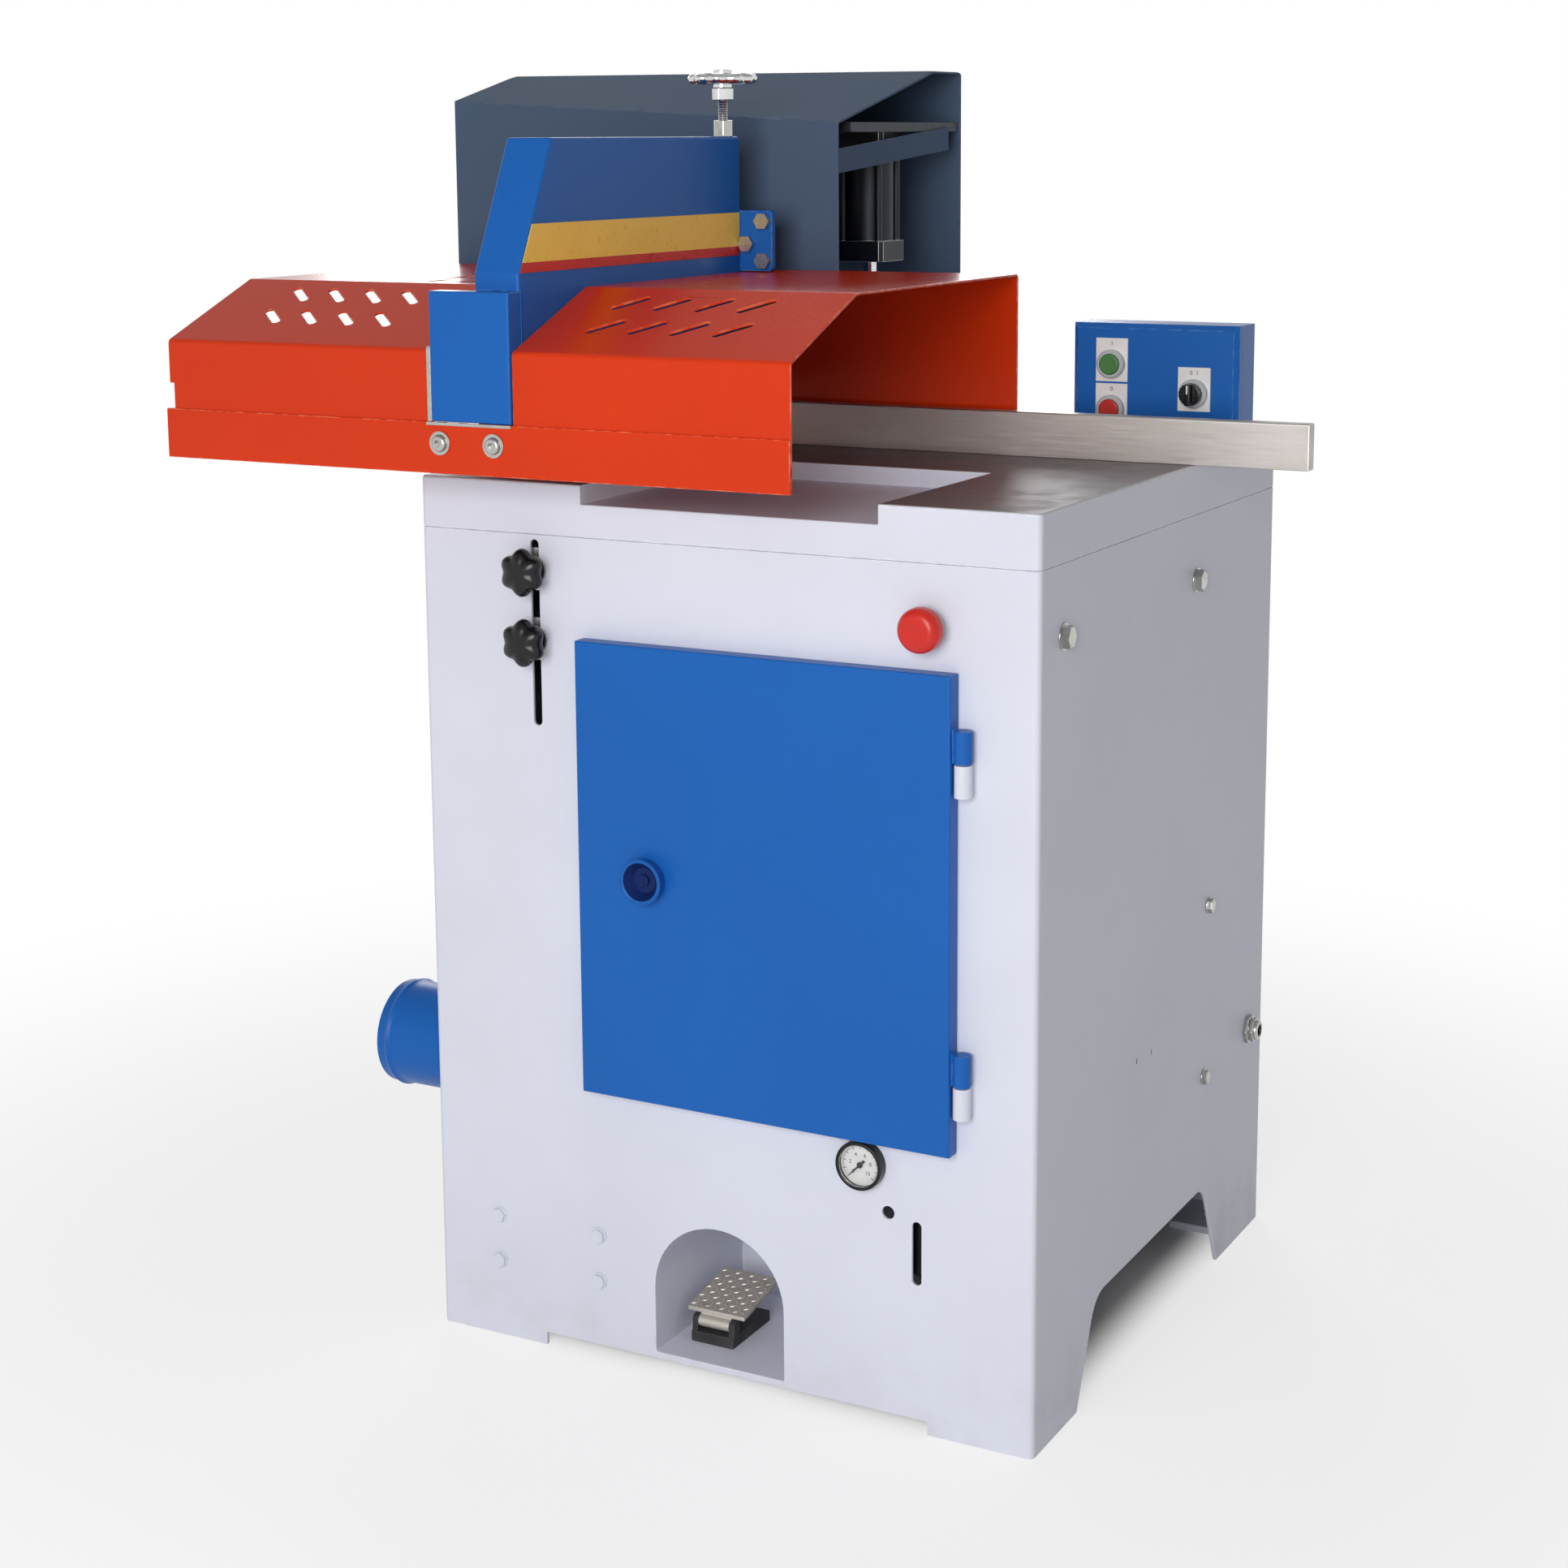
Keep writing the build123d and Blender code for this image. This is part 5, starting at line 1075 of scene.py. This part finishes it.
motor = {
    "root": 7 * mm, "lap": 2 * mm, "ribs": 44, "rib": 3.4 * mm, "ribEnd": 4 * mm, "ribSunk": 1 * mm,
    "ribEdge": 1.1 * mm, "bare": 44, "shield": 26 * mm, "shieldRim": 20 * mm, "shieldDish": 6 * mm,
    "shieldEdge": 2.2 * mm, "bore": 19 * mm, "boreDepth": 42 * mm, "boreStart": 1 * mm, "cowl": 40 * mm,
    "cowlShare": 0.94, "cowlRound": 9 * mm, "cowlEdge": 0.6 * mm, "rings": 9, "ring": 6.5 * mm,
    "ringDepth": 5 * mm, "boss": 0.5 * mm, "barEvery": 6, "footShare": 0.6, "footRound": 2.5 * mm,
}
motorBolt = {
    "flats": 17 * mm, "head": 8 * mm, "shank": 12 * mm, "pad": 14 * mm, "margin": 15 * mm, "from": 58 * mm,
}


def makeCowl(axis, high, radius):
    # rounded at the back; every second ring of the grille is sunk between the bars
    outer = radius * motor["cowlShare"]
    piece = discsOn(axis, "x")("motor_cowl", high.x - motor["cowl"], high.x, outer, ringSides)
    roundOff(piece, lambda a, b: min(a.x, b.x) > high.x - hair, motor["cowlRound"], 4)
    edit(piece)
    pickFaces(lambda place, normal: normal.x > facing and (place.yz - axis.yz).length < motor["boss"])
    for count in range(motor["rings"]):
        inset(motor["ring"])
    rim = outer - motor["cowlRound"]

    def sunk(place, normal):
        arm = place.yz - axis.yz
        ring = int((rim - arm.length) / motor["ring"])
        side = round(atan2(arm.y, arm.x) / radians(360 / ringSides) - 0.5)
        inGrille = normal.x > facing and motor["boss"] < arm.length < rim
        return inGrille and ring % 2 == 1 and side % motor["barEvery"] != 0

    pickFaces(sunk)
    pull(leftward * motor["ringDepth"])
    leave()
    return softEdges(piece, motor["cowlEdge"])


def makeMotor():
    low, high, axis = boxOf("motor_body")
    radius = (high.y - low.y) / 2
    axis.z = low.z + radius
    disc = discsOn(axis, "x")
    frameFrom, frameTo = low.x + motor["shield"], high.x - motor["cowl"]
    tube = disc("tube", frameFrom - motor["lap"], frameTo + motor["lap"], radius - motor["root"], drumSides)
    shield = disc("shield", low.x, frameFrom, radius, drumSides)
    sink(shield, leftward, motor["shieldRim"], motor["shieldDish"])
    softEdges(shield, motor["shieldEdge"], 3)
    bore = disc("cutter", low.x - motor["boreStart"], low.x + motor["boreDepth"], motor["bore"], ringSides)
    cutOut(bore, tube, shield)
    half = motor["rib"] / 2
    rib = startBlock(
        "rib", (frameFrom - motor["ribSunk"], axis.y - half, low.z),
        (frameTo - motor["ribEnd"], axis.y + half, low.z + motor["root"] + motor["ribSunk"]),
        motor["ribEdge"],
    )
    angles = [count * 360 / motor["ribs"] for count in range(1, motor["ribs"])]
    # the foot covers the top
    spins = [turned(angle, "X", axis) for angle in angles if abs(angle - 180) > motor["bare"]]
    top = [point.co for point in nodes["motor_body"].data.vertices if point.co.z > high.z - hair]
    columns, rows = [(min(p[side] for p in top), max(p[side] for p in top)) for side in (0, 1)]
    foot = startBlock(
        "foot", (columns[0], rows[0], axis.z + radius * motor["footShare"]), (columns[1], rows[1], high.z),
        motor["footRound"], 3,
    )
    body = bodyOf("motor_body")
    made = joined("motor_made", [tube, shield] + repeated(rib, spins) + [foot])
    finishPiece(made, body, "motor_aluminium", "motor_body")
    finishPiece(makeCowl(axis, high, radius), body, "black_plastic", "motor_body")
    columns = (columns[0] + motorBolt["from"], columns[1] - motorBolt["margin"])
    rows = (rows[0] + motorBolt["margin"], rows[1] - motorBolt["margin"])
    makeBoltSet("motor_bolts", body, motorBolt, columns, rows, high.z + motorBolt["pad"])


# pressure gauge: case, dial, marks, figures, needle and lens

gauge = {
    "sides": 72, "lip": 3.5 * mm, "dish": 6.6 * mm, "lipRound": 1.3 * mm, "stem": 10 * mm,
    "lensSteps": 3, "lensStep": 0.2, "lensRise": 0.25 * mm, "lensSmooth": 60,
}
dialFace = {
    "depth": 0.6 * mm, "rim": 0.7 * mm, "sunk": 0.15 * mm, "margin": 1.4 * mm, "sweep": 270, "steps": 10,
    "parts": 5, "long": (3.4 * mm, 0.75 * mm), "short": (1.9 * mm, 0.4 * mm), "taper": (0.6, 1, 1),
    "proud": 0.02 * mm, "root": 0.2 * mm, "figureRing": 0.52, "figureSize": 5.2 * mm,
    "figureRoot": 0.1 * mm,
}
needle = {
    "reach": 15 * mm, "tail": 6 * mm, "width": 2.4 * mm, "taper": (0.28, 1, 1), "hub": 2.8 * mm,
    "hubDepth": 1.8 * mm, "hubEdge": 0.5 * mm,
}
figureDepth = 0.05 * mm


def figure(name, words, size, place):
    clearPick()
    bpy.ops.object.text_add(location=place, rotation=(radians(90), 0, 0))
    text = bpy.context.object.data
    text.body, text.size, text.extrude = words, size, figureDepth
    text.align_x, text.align_y = "CENTER", "CENTER"
    bpy.ops.object.convert(target="MESH")
    return settle(name)


def makeGaugeCase(centre, radius, front, back):
    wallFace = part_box("cabinet_shell")[0].y
    piece = discsOn(centre, "y")("gauge_case_made", front, wallFace, radius, gauge["sides"])
    sink(piece, ahead, gauge["lip"], gauge["dish"])
    sink(piece, behind, radius - gauge["stem"], wallFace - back)
    roundOff(piece, lambda a, b: max(a.y, b.y) < front + weld, gauge["lipRound"], 4)
    finishPiece(piece, "root", "gauge_black", "gauge_case")


def makeDial(centre, reach, face):
    dial = discsOn(centre, "y")("gauge_dial", face, face + dialFace["depth"], reach, gauge["sides"])
    sink(dial, ahead, dialFace["rim"], dialFace["sunk"])
    finishPiece(dial, "root", "legend_white")
    top = Vector((centre.x, face, centre.z + reach - dialFace["margin"]))
    strokes = {}
    for name in ("long", "short"):
        length, width = dialFace[name]
        low = top - Vector((width / 2, dialFace["proud"], length))
        strokes[name] = startBlock(name, low, top + Vector((width / 2, dialFace["root"], 0)))
        taper(strokes[name], -upward, dialFace["taper"], top)
    marks = []
    count = dialFace["steps"] * dialFace["parts"]
    for step in range(count + 1):
        stroke = strokes["short" if step % dialFace["parts"] else "long"]
        angle = dialFace["sweep"] * (step / count - 0.5)
        marks.append(copied(stroke, "mark%d" % step, turned(angle, "Y", centre)))
    for stroke in strokes.values():
        bpy.data.objects.remove(stroke)
    ring = reach * dialFace["figureRing"]
    for step in range(0, dialFace["steps"] + 1, 2):
        angle = radians(dialFace["sweep"] * (step / dialFace["steps"] - 0.5))
        place = (centre.x + ring * sin(angle), face + dialFace["figureRoot"], centre.z + ring * cos(angle))
        marks.append(figure("figure%d" % step, str(step), dialFace["figureSize"], place))
    finishPiece(joined("gauge_marks", marks), "root", "needle_black")


def makeNeedle(centre):
    low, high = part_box("gauge_needle")
    half = needle["width"] / 2
    base = Vector((centre.x, low.y, centre.z))
    tip = base + Vector((half, high.y - low.y, needle["reach"]))
    blade = startBlock("blade", base - Vector((half, 0, needle["tail"])), tip)
    taper(blade, upward, needle["taper"], base)
    depth = behind * needle["hubDepth"]
    hub = startDisc("hub", base - depth / 2, depth, needle["hub"], pinSides, needle["hubEdge"])
    piece = joined("gauge_needle_made", [blade, hub])
    piece.matrix_world = turned(-dialFace["sweep"] / 2, "Y", base)
    finishPiece(settle("gauge_needle_made"), "needle", "needle_black", "gauge_needle")


def makeLens():
    low, high, centre = boxOf("gauge_lens")
    radius = (high.x - low.x) / 2
    piece = discsOn(centre, "y")("gauge_lens_made", low.y, high.y, radius, gauge["sides"])
    edit(piece)
    pickFacing(ahead)
    for step in range(1, gauge["lensSteps"] + 1):
        inset(radius * gauge["lensStep"])
        slide(ahead * gauge["lensRise"] / step)
    leave()
    finishPiece(piece, "root", "gauge_glass", "gauge_lens", gauge["lensSmooth"])


def makeGauge():
    low, high, centre = boxOf("gauge_case")
    radius = (high.x - low.x) / 2
    makeGaugeCase(centre, radius, low.y, high.y)
    makeDial(centre, radius - gauge["lip"], low.y + gauge["dish"] - dialFace["depth"])
    makeNeedle(centre)
    makeLens()


# selector switch: a fluted skirt, a grip across it and a white pointer

selector = {
    "sides": 36, "flute": 0.94, "lip": 1.2 * mm, "lipRise": 0.8 * mm, "skirtEdge": 0.35 * mm,
    "stem": 7.6 * mm, "grip": 4.2 * mm, "gripRound": 1.3 * mm, "gripGap": 0.4 * mm, "taper": (0.7, 1, 0.96),
    "pointer": 0.9 * mm, "pointerProud": 0.1 * mm, "pointerRoot": 0.6 * mm, "pointerFrom": 1 * mm,
    "pointerGap": 2 * mm, "pointerEdge": 0.15 * mm,
}


def makeSelector():
    low, high, centre = boxOf("selector_knob")
    depth = (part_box("button_bezels")[1].y - low.y) / 3  # a third each for grip, skirt and stem
    skirtFront, skirtBack = low.y + depth, low.y + 2 * depth
    disc = discsOn(centre, "y")
    skirt = disc("skirt", skirtFront, skirtBack, (high.x - low.x) / 2, selector["sides"])
    edit(skirt)
    pickPoints(lambda p: cos(selector["sides"] / 2 * atan2(p.x - centre.x, p.z - centre.z)) < 0)
    widen(selector["flute"], "y", centre)
    leave()
    sink(skirt, ahead, selector["lip"], -selector["lipRise"])
    softEdges(skirt, selector["skirtEdge"])
    stem = disc("stem", skirtBack, high.y, selector["stem"], ringSides)
    wide, gap = selector["grip"], selector["gripGap"]
    grip = startBlock(
        "grip", (centre.x - wide, low.y, low.z + gap), (centre.x + wide, skirtFront, high.z - gap)
    )
    taper(grip, ahead, selector["taper"], centre)
    softEdges(grip, selector["gripRound"], 3)
    made = joined("selector_knob_made", [skirt, stem, grip])
    finishPiece(made, "selector", "black_plastic", "selector_knob")
    wide, front = selector["pointer"], low.y - selector["pointerProud"]
    pointer = startBlock(
        "selector_pointer", (centre.x - wide, front, centre.z + selector["pointerFrom"]),
        (centre.x + wide, low.y + selector["pointerRoot"], high.z - selector["pointerGap"]),
        selector["pointerEdge"],
    )
    finishPiece(pointer, "selector", "legend_white")


# door latch: a dished knob with a keyed barrel in it, its shaft and its cam

latch = {
    "gap": 0.3 * mm, "radius": 22 * mm, "face": 14 * mm, "taper": (0.84, 1, 0.84), "rim": 3.2 * mm,
    "rimRound": 1.4 * mm, "dish": 9 * mm, "dishFloor": 0.62, "well": 2 * mm, "barrel": 5.5 * mm,
    "barrelRise": 2.5 * mm, "barrelRoot": 1 * mm, "barrelEdge": 0.6 * mm, "key": 1.1 * mm, "keyShare": 0.7,
    "keyRise": 0.6 * mm, "keyEdge": 0.35 * mm, "shaft": 6 * mm, "cam": 9 * mm, "camDepth": 3.5 * mm,
    "camRound": 4 * mm, "camEdge": 0.4 * mm,
}


def makeLatch():
    low, high, centre = boxOf("latch_knob")
    centre.z = low.z + latch["radius"]
    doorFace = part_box("door_panel")[0].y - latch["gap"]
    front = doorFace - latch["face"]
    floor = front + latch["dish"]
    barrelFront = floor - latch["barrelRise"]
    disc = discsOn(centre, "y")
    dish = disc("dish", front, doorFace, latch["radius"], drumSides)
    taper(dish, behind, latch["taper"], centre)
    edit(dish)
    pickFacing(ahead)
    inset(latch["rim"])
    pull(behind * latch["dish"])
    widen(latch["dishFloor"], "y", centre)
    leave()
    roundOff(dish, lambda a, b: max(a.y, b.y) < front + weld, latch["rimRound"], 4)
    barrel = disc(
        "barrel", barrelFront, floor + latch["barrelRoot"], latch["barrel"], studSides,
        latch["barrelEdge"],
    )
    wide, tall = latch["key"], latch["barrel"] * latch["keyShare"]
    key = startBlock(
        "key", (centre.x - wide, barrelFront - latch["keyRise"], centre.z - tall),
        (centre.x + wide, floor, centre.z + tall), latch["keyEdge"],
    )
    shaft = disc("shaft", doorFace, high.y, latch["shaft"], studSides)
    wide, camFront = latch["cam"], high.y - latch["camDepth"]
    cam = startBlock(
        "cam", (centre.x - wide, camFront, centre.z - wide), (centre.x + wide, high.y, high.z)
    )
    roundOff(cam, lambda a, b: abs(a.y - b.y) > hair, latch["camRound"], 4)
    softEdges(cam, latch["camEdge"])
    piece = joined("latch_knob_made", [dish, barrel, key, shaft, cam])
    finishPiece(piece, "latch", "blue_paint", "latch_knob")

    def inWell(place, normal):
        across = Vector((place.x - centre.x, place.z - centre.z)).length
        deep = front + latch["well"] < place.y < doorFace
        return deep and across < latch["radius"] - latch["rim"] and normal.y < 0.1

    # the inside of the dish takes the darker blue, painted shade in the recess
    addFinish(piece, finishes["well_blue"], inWell)


# foot pedal tread with raised chequers

tread = {
    "edge": 0.7 * mm, "rise": 12 * mm, "run": 72 * mm, "pitch": 7.6 * mm, "length": 4.4 * mm,
    "width": 1.5 * mm, "height": 1.1 * mm, "crown": (0.5, 0.62, 1), "proud": 0.2 * mm, "margin": 3.5 * mm,
    "first": 2 * mm, "slant": 45, "corners": 4, "smooth": 25,
}


def makeTread():
    low, high, centre = boxOf("pedal_tread")
    plate = edgedCopy("pedal_tread", tread["edge"])
    height = upward * tread["height"]
    lozenge = startDisc("lozenge", height / -2, height, 1, tread["corners"])
    taper(lozenge, upward, tread["crown"], Vector())
    edit(lozenge)
    bpy.ops.mesh.select_all(action="SELECT")
    grow((tread["width"], tread["length"], 1), Vector())
    leave()
    lean = atan2(tread["rise"], tread["run"])
    surface = Matrix.Translation((0, high.y, high.z)) @ Matrix.Rotation(lean, 4, "X")
    columns = int((high.x - low.x - 2 * tread["margin"]) / tread["pitch"]) + 1
    rows = int((tread["run"] / cos(lean) - 2 * tread["margin"]) / tread["pitch"]) + 1
    left = centre.x - (columns - 1) / 2 * tread["pitch"]
    top = -tread["margin"] - tread["first"]
    parts = [plate]
    for row in range(rows):
        for column in range(columns):
            spot = (left + column * tread["pitch"], top - row * tread["pitch"], tread["proud"])
            slant = radians(tread["slant"] if (row + column) % 2 else -tread["slant"])
            move = surface @ Matrix.Translation(spot) @ Matrix.Rotation(slant, 4, "Z")
            parts.append(copied(lozenge, "lozenge%d_%d" % (row, column), move))
    bpy.data.objects.remove(lozenge)
    finishPiece(joined("pedal_tread_made", parts), "pedal", "tread_steel", "pedal_tread", tread["smooth"])


# plain two-colour strip on the arm's right cheek

strip = {
    "low": 1045 * mm, "split": 1054 * mm, "high": 1088 * mm, "gauge": 0.7 * mm, "edge": 0.2 * mm,
    "rearGap": 1.5 * mm, "noseLow": 20 * mm, "noseHigh": 41 * mm,
}


def makeStrip():
    low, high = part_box("guard_arm")
    nose = low.y + strip["noseLow"]
    piece = startBlock(
        "cheek_strip", (high.x, nose, strip["low"]),
        (high.x + strip["gauge"], high.y - strip["rearGap"], strip["high"]),
    )
    edit(piece)
    pickPoints(lambda p: p.y < nose + hair and p.z > strip["split"])
    slide(behind * (strip["noseHigh"] - strip["noseLow"]))
    bpy.ops.mesh.select_all(action="SELECT")
    bpy.ops.mesh.bisect(plane_co=upward * strip["split"], plane_no=upward)
    leave()
    softEdges(piece, strip["edge"])
    finishPiece(piece, "clamp", None, finish=finishes["strip_yellow"])
    addFinish(piece, finishes["strip_red"], lambda place, normal: place.z < strip["split"])


# plain figures on the legend plates

legend = {"size": 6 * mm, "drop": 5.5 * mm, "words": ("0", "1", "0  1")}


def makeLegends():
    made = []
    for words, (low, high) in zip(legend["words"], looseBoxes("legend_plates")):
        place = ((low.x + high.x) / 2, low.y, high.z - legend["drop"])
        made.append(figure("legend_" + words[0], words, legend["size"], place))
    finishPiece(joined("legend_figures", made), "root", "needle_black")


# floor, light and camera

studio = {
    "floorSize": 14.0, "floorDrop": 0.05 * mm, "floorShade": (0.9, 0.9, 0.9), "floorLift": 0.7,
    "floorRough": 0.9, "floorGloss": 0.1,
    "fadeFrom": 0.6, "fadeTo": 1.7, "underRim": 0.06, "skyFill": 0.27, "ceiling": 0.42,
    "ceilingFrom": 0.25, "ceilingTo": 0.6,
}
lamps = {
    "frontLamp": {"place": (0.7, -3.3, 1.4), "aim": (0, 0, 0.7), "size": 1.6, "power": 67},
    "backLamp": {"place": (-1.8, 3.0, 1.9), "aim": (0, 0, 0.7), "size": 1.8, "power": 40},
    "topLamp": {"place": (-0.2, 0.2, 3.4), "aim": (0, 0, 0.6), "size": 2.0, "power": 3},
}
shot = {
    "place": (1.2506, -2.39525, 1.1618), "yaw": 28.16, "down": 9.60, "roll": -0.38,
    "lens": 62.11, "sensor": 36, "shift": (-0.0011, -0.12),
}


def makeFloor():
    clearPick()
    bpy.ops.mesh.primitive_plane_add(size=studio["floorSize"], location=upward * -studio["floorDrop"])
    floor = settle("floor")
    made = Finish("floor_paper")
    made.surface({
        "Base Color": studio["floorShade"], "Roughness": studio["floorRough"],
        "Specular IOR Level": studio["floorGloss"],
    })
    far = Field(made, made.vector("LENGTH", made.spots).outputs["Value"])
    fade = far.between(studio["fadeFrom"], studio["fadeTo"])
    low, high, centre = boxOf("cabinet_shell")
    beside = made.vector("SUBTRACT", made.spots, centre).outputs[0]
    beside = made.vector("ABSOLUTE", beside).outputs[0]
    across = made.side(beside, "X") - (high.x - low.x) / 2
    along = made.side(beside, "Y") - (high.y - low.y) / 2
    # the paper keeps its own shade under the cabinet
    seen = made.whiteSight() * across.most(along).between(-studio["underRim"], 0.0)
    share = seen * (studio["floorLift"] + fade * (1 - studio["floorLift"]))
    glow = made.node("ShaderNodeEmission", {}, {"Color": (1, 1, 1), "Strength": 1.0})
    blend = made.node("ShaderNodeMixShader", {}, {0: share, 1: made.shader.outputs[0], 2: glow.outputs[0]})
    made.feed(made.tree.nodes["Material Output"].inputs["Surface"], blend.outputs[0])
    floor.data.materials.append(made.material)


def makeSky():
    world = bpy.data.worlds.new("studio")
    bpy.context.scene.world = world
    world.use_nodes = True
    made = Maker(world.node_tree)
    height = made.side(made.node("ShaderNodeTexCoord").outputs["Generated"], "Z")
    # white around the horizon and dimmer overhead, so that level faces keep their colour
    ceiling = made.node("ShaderNodeMapRange", {}, {
        "Value": height, "From Min": studio["ceilingFrom"], "From Max": studio["ceilingTo"],
        "To Min": 1.0, "To Max": studio["ceiling"],
    })
    strength = made.node("ShaderNodeMapRange", {}, {
        "Value": made.whiteSight(), "To Min": studio["skyFill"], "To Max": ceiling.outputs[0],
    })
    sky = made.tree.nodes["Background"]
    made.feed(sky.inputs["Color"], (1, 1, 1))
    made.feed(sky.inputs["Strength"], strength.outputs[0])


def makeLamps():
    for name, lamp in lamps.items():
        clearPick()
        bpy.ops.object.light_add(type="AREA", location=lamp["place"])
        light = bpy.context.object
        light.name = name
        light.data.shape = "SQUARE"
        light.data.size = lamp["size"]
        light.data.energy = lamp["power"]
        way = Vector(lamp["aim"]) - Vector(lamp["place"])
        light.rotation_euler = way.to_track_quat("-Z", "Y").to_euler()


def makeCamera():
    clearPick()
    tilt = (radians(90 - shot["down"]), 0, radians(shot["yaw"]))
    bpy.ops.object.camera_add(location=shot["place"], rotation=tilt)
    camera = bpy.context.object
    camera.name = "camera"
    camera.rotation_euler.rotate_axis("Z", radians(shot["roll"]))
    camera.data.lens = shot["lens"]
    camera.data.sensor_width = shot["sensor"]
    camera.data.shift_x, camera.data.shift_y = shot["shift"]
    bpy.context.scene.camera = camera


stages = (
    breakEdges, makeTable, dressKept, makeStarKnobs, makeArm, makeTrim, makeHandwheel, makeStopScrew,
    makePort, makeGland, makeBolts, makeCoverScrews, makeColumnBolts, makeWashers, makeMotor, makeGauge,
    makeSelector, makeLatch, makeTread, makeStrip, makeLegends, makeFloor, makeSky, makeLamps, makeCamera,
)
for stage in stages:
    stage()
    print("done:", stage.__name__)
bpy.context.scene.view_settings.view_transform = "Standard"
